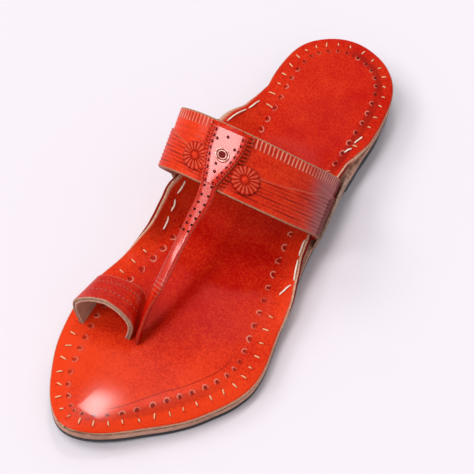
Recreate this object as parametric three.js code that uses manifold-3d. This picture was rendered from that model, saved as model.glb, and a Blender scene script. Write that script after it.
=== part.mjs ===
// A kolhapuri sandal for the left foot, in millimetres, with +Z up.
// While it is built, the heel end is at y = 0, the toe points along +Y and +X is the big toe's side.
// At the end the group is moved so that the origin is under the middle of the sandal, on the floor.
import * as THREE from "three";
import { mergeVertices } from "three/addons/utils/BufferGeometryUtils.js";
import Module from "manifold-3d";

const wasm = await Module();
wasm.setup();

// Driving sizes of the whole sandal
const soleLength = 264;
const ballWidth = 96;
const heelHeight = 8.8;
const heelBreast = 74;
const toeSpring = 4.2;
const strapHeight = 62;
const strapSpan = 36;
const loopSpan = 19;

// Thickness of each layer, and the gap that touching pieces keep
const outsoleThickness = 3;
const midsoleThickness = 4.6;
const insoleThickness = 2.8;
const insoleCrown = 1.3;
const strapWall = 2.2;
const overlayStep = 0.9;
const backingThickness = 1.1;
const leafThickness = 1.3;
const earThickness = 1.7;
const loopWall = 2.6;
const gap = 0.3;

// The strap's feet stand this far inside the sole's edge, which leaves room for the outer ear. They are made
// longer by the seat depth and cut off over the midsole, so that they stand on it all along.
const seatDepth = 3;
const footInset = earThickness + 2 * gap;
const waistNotch = footInset + strapWall + gap;

// The tread is flat on the floor between these shares of the length
const treadStart = 0.56;
const treadEnd = 0.85;

// Thong, ornament and eyelet
const thongWidth = 6;
const thongThickness = 2.6;
const leafWidth = 17.4;
const pinkDepth = 0.55;
const pinkMargin = 1.5;
const rosetteRadius = 7.2;
const rosetteHeight = 1.5;
const rosettePetals = 16;
const eyeletRadius = 3.5;
const eyeletHole = 1.9;
const eyeletHeight = 0.9;

// Outline of the sole. Each row is a turn round the outline, in degrees from the heel end to the toe:
// the station is at (1 - cos turn) / 2 of the length, and lateral and medial are shares of the ball width.
const outlineTurn = 15;
const outline = [
  { turn: 0, lateral: 0.015, medial: 0.015 },
  { turn: 15, lateral: -0.167, medial: 0.177 },
  { turn: 30, lateral: -0.286, medial: 0.3 },
  { turn: 45, lateral: -0.333, medial: 0.331 },
  { turn: 60, lateral: -0.341, medial: 0.302 },
  { turn: 75, lateral: -0.357, medial: 0.311 },
  { turn: 90, lateral: -0.396, medial: 0.372 },
  { turn: 105, lateral: -0.473, medial: 0.41 },
  { turn: 120, lateral: -0.519, medial: 0.477 },
  { turn: 135, lateral: -0.38, medial: 0.444 },
  { turn: 150, lateral: -0.168, medial: 0.35 },
  { turn: 165, lateral: -0.004, medial: 0.245 },
  { turn: 180, lateral: 0.138, medial: 0.138 },
];

// The up-turned ears of the insole at the waist: how far the tip stands out from the notched edge,
// as a share of the ball width, and above the insole, as a share of the strap's height.
const earRows = {
  lateral: [
    { along: 0.2, out: 0, up: 0 },
    { along: 0.27, out: 0.004, up: 0.05 },
    { along: 0.34, out: 0.0, up: 0.1 },
    { along: 0.41, out: 0.008, up: 0.12 },
    { along: 0.48, out: 0.02, up: 0.12 },
    { along: 0.55, out: 0.012, up: 0.08 },
    { along: 0.61, out: 0.004, up: 0.03 },
    { along: 0.67, out: 0, up: 0 },
  ],
  medial: [
    { along: 0.19, out: 0, up: 0 },
    { along: 0.25, out: 0.07, up: 0.05 },
    { along: 0.31, out: 0.13, up: 0.15 },
    { along: 0.38, out: 0.13, up: 0.2 },
    { along: 0.45, out: 0.08, up: 0.25 },
    { along: 0.505, out: 0.055, up: 0.28 },
    { along: 0.54, out: 0.012, up: 0.25 },
    { along: 0.58, out: -0.022, up: 0.17 },
    { along: 0.62, out: -0.004, up: 0.06 },
    { along: 0.67, out: 0, up: 0 },
  ],
};
const earBend = 0.7;

// The outer edges of the instep strap, from the lateral foot to the medial foot. Across is a share of the
// ball width, along of the sole's length and up of the strap's height. The feet come from the sole.
const strapRows = [
  { rearAcross: -0.32, rearAlong: 0.326, rearUp: 0.481, frontAcross: -0.388, frontAlong: 0.46, frontUp: 0.476 },
  { rearAcross: -0.194, rearAlong: 0.378, rearUp: 0.836, frontAcross: -0.262, frontAlong: 0.504, frontUp: 0.776 },
  { rearAcross: 0.095, rearAlong: 0.415, rearUp: 1.06, frontAcross: 0.003, frontAlong: 0.533, frontUp: 0.939 },
  { rearAcross: 0.4, rearAlong: 0.417, rearUp: 1.0, frontAcross: 0.31, frontAlong: 0.535, frontUp: 0.895 },
  { rearAcross: 0.534, rearAlong: 0.386, rearUp: 0.7, frontAcross: 0.457, frontAlong: 0.513, frontUp: 0.647 },
];
const strapFeet = {
  lateral: { rearAlong: 0.3, frontAlong: 0.43 },
  medial: { rearAlong: 0.308, frontAlong: 0.445 },
};

// The front layer of the strap starts at this seam: round is the place along the arch, from the lateral
// foot to the medial foot, and at is the share of the strap's width from its rear edge.
const seamRows = [
  { round: 0, at: 0.24 },
  { round: 0.11, at: 0.3 },
  { round: 0.3, at: 0.44 },
  { round: 0.46, at: 0.58 },
  { round: 0.6, at: 0.62 },
  { round: 0.7, at: 0.5 },
  { round: 0.78, at: 0.38 },
  { round: 0.9, at: 0.3 },
  { round: 1, at: 0.26 },
];

// The leaf ornament on the strap, from the rear edge to the neck where it becomes the thong.
const leafRows = [
  { at: -0.02, round: 0.55, width: 0.9 },
  { at: 0.14, round: 0.551, width: 1 },
  { at: 0.34, round: 0.553, width: 1 },
  { at: 0.52, round: 0.557, width: 0.9 },
  { at: 0.7, round: 0.561, width: 0.72 },
  { at: 0.86, round: 0.565, width: 0.55 },
  { at: 0.97, round: 0.568, width: 0.46 },
];

// The thong's centre line from the strap to its foot beside the toe loop. Width is a share of the thong's
// width and twist is in degrees, from lying flat to standing edge on between the toes.
const thongRows = [
  { across: 0.121, along: 0.56, up: 0.915, width: 1.33, twist: 0 },
  { across: 0.12, along: 0.598, up: 0.845, width: 1.08, twist: 0 },
  { across: 0.116, along: 0.632, up: 0.782, width: 0.9, twist: 3 },
  { across: 0.112, along: 0.663, up: 0.714, width: 0.82, twist: 8 },
  { across: 0.109, along: 0.694, up: 0.627, width: 0.78, twist: 18 },
  { across: 0.11, along: 0.722, up: 0.542, width: 0.8, twist: 36 },
  { across: 0.112, along: 0.748, up: 0.45, width: 0.9, twist: 56 },
  { across: 0.104, along: 0.769, up: 0.36, width: 0.98, twist: 68 },
  { across: 0.097, along: 0.784, up: 0.275, width: 1, twist: 74 },
];
const thongFoot = { across: 0.093, along: 0.793, width: 1, twist: 76 };

// Where the thong's middle starts under the leaf, and the shares of its half width and half depth at which its
// four rounded edges turn
const thongRoot = { round: 0.566, at: 0.8, width: 1.4, twist: 0 };
const thongCorner = { width: 0.8, depth: 0.6 };

// The toe loop's outer edges, from its lateral foot to its medial foot, in the strap's shares.
const loopRows = [
  { rearAcross: 0.178, rearAlong: 0.722, rearUp: 0.4, frontAcross: 0.128, frontAlong: 0.791, frontUp: 0.43 },
  { rearAcross: 0.286, rearAlong: 0.724, rearUp: 0.455, frontAcross: 0.29, frontAlong: 0.79, frontUp: 0.57 },
  { rearAcross: 0.42, rearAlong: 0.739, rearUp: 0.41, frontAcross: 0.44, frontAlong: 0.81, frontUp: 0.445 },
];
const loopFeet = {
  lateral: { rearAcross: 0.15, rearAlong: 0.732, frontAcross: 0.139, frontAlong: 0.801 },
  medial: { rearAcross: 0.404, rearAlong: 0.747, frontAcross: 0.38, frontAlong: 0.817 },
};

// Places on the strap of the two rosettes and of the eyelet
const rosettes = {
  rosette_lateral: { round: 0.482, at: 0.69 },
  rosette_medial: { round: 0.626, at: 0.665 },
};
const eyeletPlace = { round: 0.555, at: 0.505 };

const finishes = {
  red: { color: 0xc9301a, roughness: 0.42, metalness: 0 },
  rim: { color: 0xb8906a, roughness: 0.85, metalness: 0 },
  black: { color: 0x1b1a1c, roughness: 0.8, metalness: 0 },
  brass: { color: 0x8a6a45, roughness: 0.35, metalness: 1 },
};

// Smooth curve through four values, for a share between the second and the third
function throughFour(before, from, to, after, share) {
  const leave = (to - before) / 2;
  const arrive = (after - from) / 2;
  const square = share * share;
  const cube = square * share;
  return (
    from + leave * share + (3 * (to - from) - 2 * leave - arrive) * square + (2 * (from - to) + leave + arrive) * cube
  );
}

// Value of a column at a place in a table whose rows are sorted by the key, eased between rows
function readTable(rows, key, column, place) {
  const last = rows.length - 1;
  if (place <= rows[0][key]) return rows[0][column];
  if (place >= rows[last][key]) return rows[last][column];
  let row = 0;
  while (rows[row + 1][key] < place) row += 1;
  const share = (place - rows[row][key]) / (rows[row + 1][key] - rows[row][key]);
  const at = (index) => rows[Math.min(Math.max(index, 0), last)][column];
  return throughFour(at(row - 1), at(row), at(row + 1), at(row + 2), share);
}

const smooth = (share) => {
  const t = Math.min(Math.max(share, 0), 1);
  return t * t * (3 - 2 * t);
};
const mix = (from, to, share) => from + (to - from) * share;
const steps = (count) => Array.from({ length: count + 1 }, (_, index) => index / count);

// Edges of the sole at a turn round the outline, as a closed smooth curve through the table
const outlineRing = [
  ...outline.map((row) => row.lateral),
  ...outline.slice(1, -1).reverse().map((row) => row.medial),
];
function outlineAcross(turn) {
  const count = outlineRing.length;
  const place = (((turn / outlineTurn) % count) + count) % count;
  const row = Math.floor(place);
  const at = (index) => outlineRing[(index + count) % count];
  return ballWidth * throughFour(at(row - 1), at(row), at(row + 1), at(row + 2), place - row);
}
const turnAt = (y) => THREE.MathUtils.radToDeg(Math.acos(1 - (2 * y) / soleLength));
const lateralEdge = (y) => outlineAcross(turnAt(y));
const medialEdge = (y) => outlineAcross(360 - turnAt(y));

// Height of the sole's underside over the floor: the heel's lift, the flat tread and the toe spring
function underside(y) {
  const arch = heelHeight * (1 - smooth((y - heelBreast) / (treadStart * soleLength - heelBreast)));
  const spring = Math.max(y / soleLength - treadEnd, 0) / (1 - treadEnd);
  return arch + toeSpring * spring * spring;
}
const midsoleBottom = (y) => underside(y) + outsoleThickness + gap;
const midsoleTop = (y) => midsoleBottom(y) + midsoleThickness;
const insoleBottom = (y) => midsoleTop(y) + gap;

// A closed solid through rings of points. Each ring goes along its upper side and back along its lower side.
function loft(rings) {
  const size = rings[0].length;
  const positions = rings.flat().flatMap((point) => [point.x, point.y, point.z]);
  const faces = [];
  const quad = (a, b, c, d) => faces.push(a, c, b, a, d, c);
  for (let ring = 0; ring < rings.length - 1; ring += 1) {
    for (let place = 0; place < size; place += 1) {
      const next = (place + 1) % size;
      const here = ring * size;
      quad(here + place, here + size + place, here + size + next, here + next);
    }
  }
  const end = (rings.length - 1) * size;
  for (let place = 0; place < size / 2 - 1; place += 1) {
    const facing = size - 1 - place;
    quad(place, place + 1, facing - 1, facing);
    quad(end + facing, end + facing - 1, end + place + 1, end + place);
  }
  const geometry = new THREE.BufferGeometry();
  geometry.setAttribute("position", new THREE.Float32BufferAttribute(positions, 3));
  geometry.setIndex(faces);
  return geometry;
}

// Geometry to a solid for joining and cutting, with its faces turned outwards, and back
function solid(geometry) {
  const bare = geometry.clone();
  bare.deleteAttribute("normal");
  bare.deleteAttribute("uv");
  const merged = mergeVertices(bare, 1e-4);
  const vertProperties = merged.attributes.position.array;
  const triVerts = new Uint32Array(merged.index.array);
  const made = new wasm.Manifold(new wasm.Mesh({ numProp: 3, vertProperties, triVerts }));
  if (made.volume() > 0) return made;
  const turned = triVerts.map((_, index) => triVerts[index - (index % 3) + 2 - (index % 3)]);
  return new wasm.Manifold(new wasm.Mesh({ numProp: 3, vertProperties, triVerts: turned }));
}
function geometryOf(made) {
  const mesh = made.getMesh();
  const points = [];
  for (let vertex = 0; vertex < mesh.vertProperties.length; vertex += mesh.numProp) {
    points.push(...mesh.vertProperties.slice(vertex, vertex + 3));
  }
  const geometry = new THREE.BufferGeometry();
  geometry.setAttribute("position", new THREE.Float32BufferAttribute(points, 3));
  geometry.setIndex(Array.from(mesh.triVerts));
  geometry.computeVertexNormals();
  return geometry;
}
const largest = (made) => made.decompose().sort((a, b) => b.volume() - a.volume())[0];

// Stations along the sole between two turns of the outline, closer together towards heel and toe
const endTurn = 2.5;
function stationsBetween(fromTurn, toTurn, count) {
  return steps(count).map((share) => {
    const turn = THREE.MathUtils.degToRad(mix(fromTurn, toTurn, share));
    return (soleLength * (1 - Math.cos(turn))) / 2;
  });
}

// A flat layer of the sole that follows its outline, less an inset, between two height functions
function soleLayer(stations, inset, bottom, top) {
  const acrossSteps = steps(2);
  const rings = stations.map((y) => {
    const left = lateralEdge(y) + inset;
    const right = medialEdge(y) - inset;
    const point = (share, height) => new THREE.Vector3(mix(left, right, share), y, height(y));
    const upper = acrossSteps.map((share) => point(share, top));
    const lower = acrossSteps.map((share) => point(1 - share, bottom));
    return [...upper, ...lower];
  });
  return loft(rings);
}

function makeOutsole() {
  const stations = stationsBetween(endTurn, 180 - endTurn, 44);
  return soleLayer(stations, 0, underside, (y) => underside(y) + outsoleThickness);
}
function makeMidsole() {
  const stations = stationsBetween(endTurn, 180 - endTurn, 44);
  return soleLayer(stations, 0, midsoleBottom, midsoleTop);
}

// What lies under the midsole's upper face, wider than the sole: it cuts the feet of straps, loop and ears
const seatMargin = 0.25;
function makeSeat() {
  const stations = stationsBetween(endTurn, 180 - endTurn, 44);
  return solid(soleLayer(stations, -seatMargin * ballWidth, () => -heelHeight, (y) => midsoleTop(y) + gap));
}

// The heel's lift, a little smaller than the sole over it
const heelInset = 0.6;
function makeHeel() {
  const stations = stationsBetween(endTurn * 2, turnAt(heelBreast), 18);
  return soleLayer(stations, heelInset, () => 0, (y) => underside(y) - gap);
}

// The insole is notched at the waist, where the strap and the outer ears go down past its edge
const notchRows = [
  { along: 0.2, depth: 0 },
  { along: 0.25, depth: 0.6 },
  { along: 0.275, depth: 1 },
  { along: 0.49, depth: 1 },
  { along: 0.52, depth: 0.6 },
  { along: 0.58, depth: 0 },
];
function insoleSection(y) {
  const along = y / soleLength;
  const notch = waistNotch * readTable(notchRows, "along", "depth", along);
  const left = lateralEdge(y) + notch;
  const right = medialEdge(y) - notch;
  const middle = (left + right) / 2;
  const half = (right - left) / 2;
  const ear = (side) => ({
    out: ballWidth * readTable(earRows[side], "along", "out", along),
    up: strapHeight * readTable(earRows[side], "along", "up", along),
  });
  const ears = { lateral: ear("lateral"), medial: ear("medial") };
  return { middle, half, ears };
}

// Upper face of the insole: across runs from -1 at the lateral edge to 1 at the medial edge. Its crown fades
// where the half width is under a share of the ball's width.
const crownFade = 0.2;
function insoleTop(y, across) {
  const { middle, half, ears } = insoleSection(y);
  const side = across < 0 ? "lateral" : "medial";
  const bend = Math.max((Math.abs(across) - earBend) / (1 - earBend), 0) ** 2;
  const crown = insoleCrown * (1 - across ** 4) * Math.min(half / (crownFade * ballWidth), 1);
  const x = middle + half * across + Math.sign(across) * ears[side].out * bend;
  const z = insoleBottom(y) + insoleThickness + crown + ears[side].up * bend;
  return new THREE.Vector3(x, y, z);
}
function makeInsole() {
  const acrossSteps = [-1, -0.93, -0.86, -0.79, -0.7, -0.35, 0, 0.35, 0.7, 0.79, 0.86, 0.93, 1];
  const rings = stationsBetween(endTurn, 180 - endTurn, 54).map((y) => {
    const upper = acrossSteps.map((across) => insoleTop(y, across));
    const lower = upper.map((point, index) => {
      const before = upper[Math.max(index - 1, 0)];
      const after = upper[Math.min(index + 1, upper.length - 1)];
      const down = new THREE.Vector3(after.z - before.z, 0, before.x - after.x).normalize();
      const place = point.clone().addScaledVector(down, insoleThickness);
      if (Math.abs(acrossSteps[index]) <= earBend) place.set(point.x, y, insoleBottom(y));
      place.z = Math.max(place.z, insoleBottom(y));
      return place;
    });
    return [...upper, ...lower.reverse()];
  });
  return loft(rings);
}

// A curved band between two edge curves. Round runs along the arch and at runs from the rear edge to the front.
function makeBand(rearPoints, frontPoints) {
  const smoothCurve = (points) => new THREE.CatmullRomCurve3(points, false, "catmullrom", 0.5);
  const rear = smoothCurve(rearPoints);
  const front = smoothCurve(frontPoints);
  const place = (round, at) => rear.getPoint(round).lerp(front.getPoint(round), at);
  const outward = (round, at) => {
    const nudge = 1e-3;
    const low = Math.min(Math.max(round, nudge), 1 - nudge);
    const alongArch = place(low + nudge, at).sub(place(low - nudge, at));
    const acrossBand = place(low, at + nudge).sub(place(low, at - nudge));
    return alongArch.cross(acrossBand).normalize();
  };
  const point = (round, at, height) => place(round, at).addScaledVector(outward(round, at), height);
  // A point at a distance from a place on the band, in millimetres round the arch and towards the front
  const near = (round, at, aside, forward, height) => {
    const nudge = 1e-2;
    const roundSize = place(round + nudge, at).distanceTo(place(round - nudge, at)) / (2 * nudge);
    const widthSize = place(round, 1).distanceTo(place(round, 0));
    return point(round + aside / roundSize, at + forward / widthSize, height);
  };
  return { place, outward, point, near };
}

const spot = (across, along, z) => new THREE.Vector3(across * ballWidth, along * soleLength, z);
function strapEdge(end) {
  const footPoint = (side) => {
    const y = strapFeet[side][`${end}Along`] * soleLength;
    const x = side === "lateral" ? lateralEdge(y) + footInset : medialEdge(y) - footInset;
    return new THREE.Vector3(x, y, midsoleTop(y) - seatDepth);
  };
  const arch = strapRows.map((row) => spot(row[`${end}Across`], row[`${end}Along`], row[`${end}Up`] * strapHeight));
  return [footPoint("lateral"), ...arch, footPoint("medial")];
}
const strap = makeBand(strapEdge("rear"), strapEdge("front"));

// Place of the seam across the strap. The front layer lies a step higher than the rear one, which it covers.
const seamAt = (round) => readTable(seamRows, "round", "at", round);
const seamSlope = 0.02;

function makeStrapWall(grow) {
  const wider = grow / strapSpan;
  const rings = steps(46).map((round) => {
    const seam = seamAt(round);
    const rearSide = [0, 0.5, 1 - seamSlope].map((share) => ({ at: seam * share, height: 0 }));
    const frontShares = [seamSlope, 0.25, 0.5, 0.75, 1];
    const frontSide = frontShares.map((share) => ({ at: mix(seam, 1, share), height: overlayStep }));
    const face = [...rearSide, ...frontSide];
    face[0].at -= wider;
    face[face.length - 1].at += wider;
    const upper = face.map(({ at, height }) => strap.point(round, at, height + grow));
    const lower = face.map(({ at }) => strap.point(round, at, -strapWall - grow)).reverse();
    return [...upper, ...lower];
  });
  return solid(loft(rings));
}

// A plate that lies on the strap along the leaf's rows, with an edge that may be pinked
function makeLeafPlate(count, margin, zigzag, bottom, top) {
  const start = leafRows[0].at;
  const end = leafRows[leafRows.length - 1].at;
  const rings = steps(count).map((share, index) => {
    const at = mix(start, end, share);
    const round = readTable(leafRows, "at", "round", at);
    const tooth = index % 2 ? zigzag : 0;
    const half = (leafWidth / 2) * readTable(leafRows, "at", "width", at) + margin - tooth;
    const sides = [-1, -0.5, 0, 0.5, 1];
    const upper = sides.map((side) => strap.near(round, at, side * half, 0, top));
    const lower = sides.map((side) => strap.near(round, at, side * half, 0, bottom)).reverse();
    return [...upper, ...lower];
  });
  return solid(loft(rings));
}
const backingTop = overlayStep + backingThickness;
const leafTop = backingTop + leafThickness;

// The thong: a flat strip along its rows that turns edge on before it goes down beside the toe loop
function makeThong(grow) {
  const footY = thongFoot.along * soleLength;
  const start = strap.point(thongRoot.round, thongRoot.at, leafTop - thongThickness / 2);
  const stops = thongRows.map((row) => spot(row.across, row.along, row.up * strapHeight));
  const foot = spot(thongFoot.across, thongFoot.along, midsoleTop(footY) - seatDepth);
  const curve = new THREE.CatmullRomCurve3([start, ...stops, foot], false, "catmullrom", 0.5);
  const table = [thongRoot, ...thongRows, thongFoot].map((row, index, all) => ({
    place: index / (all.length - 1),
    width: row.width,
    twist: row.twist,
  }));
  const rings = steps(36).map((share) => {
    const middle = curve.getPoint(share);
    const forward = curve.getTangent(share);
    const twist = THREE.MathUtils.degToRad(readTable(table, "place", "twist", share));
    const half = (thongWidth / 2) * readTable(table, "place", "width", share) + grow;
    const side = new THREE.Vector3(1, 0, 0).cross(forward).cross(forward).negate().normalize();
    side.applyAxisAngle(forward, twist);
    const up = side.clone().cross(forward).normalize();
    const deep = thongThickness / 2 + grow;
    const { width, depth } = thongCorner;
    const corner = (aside, height) =>
      middle.clone().addScaledVector(side, aside * half).addScaledVector(up, height * deep);
    const face = [corner(-1, depth), corner(-width, 1), corner(width, 1), corner(1, depth)];
    const back = [corner(1, -depth), corner(width, -1), corner(-width, -1), corner(-1, -depth)];
    return [...face, ...back];
  });
  return solid(loft(rings));
}

// The toe loop, a short band like the strap
function loopEdge(end) {
  const footPoint = (side) => {
    const row = loopFeet[side];
    const y = row[`${end}Along`] * soleLength;
    return spot(row[`${end}Across`], row[`${end}Along`], midsoleTop(y) - seatDepth);
  };
  const arch = loopRows.map((row) => spot(row[`${end}Across`], row[`${end}Along`], row[`${end}Up`] * strapHeight));
  return [footPoint("lateral"), ...arch, footPoint("medial")];
}
const loop = makeBand(loopEdge("rear"), loopEdge("front"));
function makeLoop(grow) {
  const rings = steps(30).map((round) => {
    const places = [-grow / loopSpan, 0.5, 1 + grow / loopSpan];
    const upper = places.map((at) => loop.point(round, at, grow));
    const lower = places.map((at) => loop.point(round, at, -loopWall - grow)).reverse();
    return [...upper, ...lower];
  });
  return solid(loft(rings));
}

// An outer ear: a flap against the strap's outer face, highest at the strap's middle
const earReach = 0.1;
const earTop = { lateral: 0.1, medial: 0.12 };
const earFall = 0.45;
function makeEar(side, grow) {
  const rings = steps(14).map((share) => {
    const at = mix(-earReach, 1 + earReach, share);
    const top = earTop[side] * (1 - earFall * Math.abs(2 * share - 1) ** 3);
    const heights = [0, 0.35, 0.7, 1].map((part) => part * top);
    const round = (height) => (side === "lateral" ? height : 1 - height);
    const base = overlayStep + gap;
    const outer = heights.map((height) => strap.point(round(height), at, base + earThickness + grow));
    const inner = heights.map((height) => strap.point(round(height), at, base - grow)).reverse();
    return [...outer, ...inner];
  });
  return solid(loft(rings));
}

// A round ornament on the strap, with radial cuts between its petals. Its rows run from the rim to the middle:
// height and cut are shares of its height, and wave is how far the rim is drawn in at each cut.
const rosetteWave = 0.05;
const rosetteDip = 0.85;
const rosetteRows = [
  { radius: 1, height: 0.35, cut: 0.35, wave: rosetteWave },
  { radius: 0.86, height: 0.75, cut: 0.5, wave: 0 },
  { radius: 0.5, height: 1, cut: 0.35, wave: 0 },
  { radius: 0.2, height: 0.9, cut: 0.1, wave: 0 },
];
function makeRosette({ round, at }) {
  const around = rosettePetals * 4;
  const base = overlayStep + gap;
  const ringOf = (radius, heightAt, wave) =>
    Array.from({ length: around }, (_, index) => {
      const angle = (2 * Math.PI * index) / around;
      const petal = Math.abs(Math.sin((angle * rosettePetals) / 2));
      const reach = rosetteRadius * radius * (1 - wave * (1 - petal));
      return strap.near(round, at, reach * Math.cos(angle), reach * Math.sin(angle), heightAt(petal));
    });
  const rings = [ringOf(1, () => base, rosetteWave)];
  for (const { radius, height, cut, wave } of rosetteRows) {
    rings.push(ringOf(radius, (petal) => base + rosetteHeight * (height - cut * (1 - petal)), wave));
  }
  const bottomCentre = strap.point(round, at, base);
  const topCentre = strap.point(round, at, base + rosetteHeight * rosetteDip);
  const points = [...rings.flat(), bottomCentre, topCentre];
  const faces = [];
  const centreIndex = rings.length * around;
  for (let index = 0; index < around; index += 1) {
    const next = (index + 1) % around;
    faces.push(centreIndex, next, index);
    const last = (rings.length - 1) * around;
    faces.push(centreIndex + 1, last + index, last + next);
    for (let ring = 0; ring < rings.length - 1; ring += 1) {
      const here = ring * around;
      const above = here + around;
      faces.push(here + index, here + next, above + next, here + index, above + next, above + index);
    }
  }
  const geometry = new THREE.BufferGeometry();
  geometry.setAttribute("position", new THREE.Float32BufferAttribute(points.flatMap((p) => [p.x, p.y, p.z]), 3));
  geometry.setIndex(faces);
  return solid(geometry);
}

// The eyelet's ring, turned so that it lies on the leaf. Out is a share of the way from its hole to its rim.
const eyeletRows = [
  { out: 0, height: 0 },
  { out: 1, height: 0 },
  { out: 1, height: 0.45 },
  { out: 0.6, height: 1 },
  { out: 0.25, height: 0.9 },
  { out: 0, height: 0.3 },
  { out: 0, height: 0 },
];
function makeEyelet() {
  const profile = eyeletRows.map(
    ({ out, height }) => new THREE.Vector2(mix(eyeletHole, eyeletRadius, out), height * eyeletHeight),
  );
  const ring = new THREE.LatheGeometry(profile, 32);
  const seat = strap.point(eyeletPlace.round, eyeletPlace.at, leafTop + gap);
  const turned = new THREE.Quaternion().setFromUnitVectors(
    new THREE.Vector3(0, 1, 0),
    strap.outward(eyeletPlace.round, eyeletPlace.at),
  );
  ring.applyQuaternion(turned);
  ring.translate(seat.x, seat.y, seat.z);
  return ring;
}

// Solids that are joined or cut
const seat = makeSeat();
const toeLoop = makeLoop(0).subtract(seat);
const ears = { lateral: makeEar("lateral", 0).subtract(seat), medial: makeEar("medial", 0).subtract(seat) };
const sunk = -strapWall / 2;

// Merges the slivers that joining and cutting leave, then works on the solid as one piece
const sliver = 0.03;
const cleaned = (made) => made.asOriginal().simplify(sliver);
const backing = makeLeafPlate(36, pinkMargin, pinkDepth, sunk, backingTop);
const leaf = makeLeafPlate(18, 0, 0, sunk, leafTop);
const upper = makeStrapWall(0).add(backing).add(leaf).add(makeThong(0)).subtract(seat);
const fatLeaf = makeLeafPlate(36, pinkMargin + gap, 0, sunk, leafTop + gap);
const insole = largest(
  solid(makeInsole())
    .subtract(makeStrapWall(gap))
    .subtract(makeEar("lateral", gap))
    .subtract(makeEar("medial", gap))
    .subtract(makeThong(gap))
    .subtract(makeLoop(gap)),
);

// The named pieces, each with its finish
const sandal = new THREE.Group();
function add(name, geometry, finish) {
  const mesh = new THREE.Mesh(geometry, new THREE.MeshStandardMaterial(finishes[finish]));
  mesh.name = name;
  sandal.add(mesh);
}
add("outsole", makeOutsole(), "black");
add("heel", makeHeel(), "black");
add("midsole", makeMidsole(), "rim");
add("insole", geometryOf(cleaned(insole)), "red");
add("upper", geometryOf(cleaned(upper)), "red");
add("toe_loop", geometryOf(cleaned(toeLoop)), "red");
add("ear_lateral", geometryOf(cleaned(ears.lateral)), "rim");
add("ear_medial", geometryOf(cleaned(ears.medial)), "rim");
for (const [name, place] of Object.entries(rosettes)) {
  add(name, geometryOf(cleaned(largest(makeRosette(place).subtract(fatLeaf)))), "red");
}
add("eyelet", makeEyelet(), "brass");

// Origin under the middle of the sandal, on the floor
const reach = new THREE.Box3().setFromObject(sandal);
sandal.position.set(-(reach.min.x + reach.max.x) / 2, -(reach.min.y + reach.max.y) / 2, -reach.min.z);

export default sandal;
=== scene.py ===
"""Looks of a kolhapuri sandal for the left foot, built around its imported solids.

Shapes are worked out in the pattern's own millimetres: the heel end is at y = 0, the toe points along +Y, +X
is the big toe's side and z = 0 is the floor. They go into the meshes in metres, in the frame of the solids.
"""

from __future__ import annotations

import logging
import math
from dataclasses import dataclass, field
from enum import Enum
from typing import Callable, Sequence

import bmesh
import bpy
import numpy as np
from mathutils import Matrix, Vector

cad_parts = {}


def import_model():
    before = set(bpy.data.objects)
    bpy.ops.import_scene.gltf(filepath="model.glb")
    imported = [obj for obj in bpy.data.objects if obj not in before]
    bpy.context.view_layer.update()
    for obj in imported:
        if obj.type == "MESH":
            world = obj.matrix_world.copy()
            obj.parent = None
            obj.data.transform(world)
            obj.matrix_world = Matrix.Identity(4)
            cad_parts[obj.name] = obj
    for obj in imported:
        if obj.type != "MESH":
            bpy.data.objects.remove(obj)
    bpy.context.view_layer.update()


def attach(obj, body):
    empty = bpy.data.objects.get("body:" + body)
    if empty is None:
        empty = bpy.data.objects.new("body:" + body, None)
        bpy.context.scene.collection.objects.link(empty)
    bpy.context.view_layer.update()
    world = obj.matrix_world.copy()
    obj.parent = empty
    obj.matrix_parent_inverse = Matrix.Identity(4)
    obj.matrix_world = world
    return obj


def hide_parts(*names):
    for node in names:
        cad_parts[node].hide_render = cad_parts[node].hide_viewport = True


log = logging.getLogger("sandal")

MM = 0.001
ORIGIN = np.array((0.657, 132.0, 0.0))
STITCH_PITCH = 7.4
STITCH_INSET = 6.4
EYE_INSET = 12.0
SCRIBE_INSET = 16.5
TICK_PITCH = 2.25
TICK_LANE = 3.2
FAR = 99.0
Array = np.ndarray
Colour = tuple[float, float, float]
Pair = tuple[float, float]
Rows = Sequence[tuple[float, ...]]
Pattern = tuple["float | Wire", "float | Wire", "float | Wire"]


# Curves and numbers


def through_four(before: Array, start: Array, end: Array, after: Array, share: Array) -> Array:
    """Smooth curve through four values: a cubic whose slopes are half the steps over each inner value.

    Args:
        before, start, end, after: the four values.
        share: place between start and end, from 0 to 1.

    Returns:
        The curve's value.
    """
    leave, arrive, rise = (end - before) / 2, (after - start) / 2, end - start
    turn = 3 * rise - 2 * leave - arrive
    return start + share * (leave + share * (turn + share * (leave + arrive - 2 * rise)))


def smooth(share: Array) -> Array:
    """Eases a share from 0 to 1 with level ends: three of its squares less two of its cubes."""
    held = np.clip(share, 0.0, 1.0)
    return held * held * (3 - 2 * held)


def mix(start: Array, end: Array, share: Array) -> Array:
    """Value at a share of the way from start to end."""
    return start + (end - start) * share


def hump(distance: Array, width: Array) -> Array:
    """Bell of height one: e to the power of minus the squared share of distance to width."""
    return np.exp(-((distance / width) ** 2))


def rim_drop(distance: Array, depth: float, reach: float) -> Array:
    """Drop of a rolled rim: its depth times the square of how near the rim is, within a reach of it."""
    return depth * np.clip(1 - distance / reach, 0, 1) ** 2


def size(vectors: Array) -> Array:
    """Length of vectors along the last axis."""
    return np.linalg.norm(vectors, axis=-1)


def unit(vectors: Array) -> Array:
    """Vectors of length one along the last axis."""
    return vectors / np.maximum(size(vectors)[..., None], 1e-9)


def run_along(points: Array) -> Array:
    """Distance run to each point of one or more lines, the sum of the steps before it."""
    steps = size(np.diff(points, axis=-2))
    return np.concatenate([0 * steps[..., :1], np.cumsum(steps, axis=-1)], axis=-1)


def turns(count: int) -> Array:
    """Angles in equal steps round a circle."""
    return np.linspace(0, 2 * np.pi, count, endpoint=False)


def inner(count: int) -> Array:
    """Shares in equal steps between 0 and 1 without both ends, as a column."""
    return np.linspace(0, 1, count)[1:-1, None]


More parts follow.
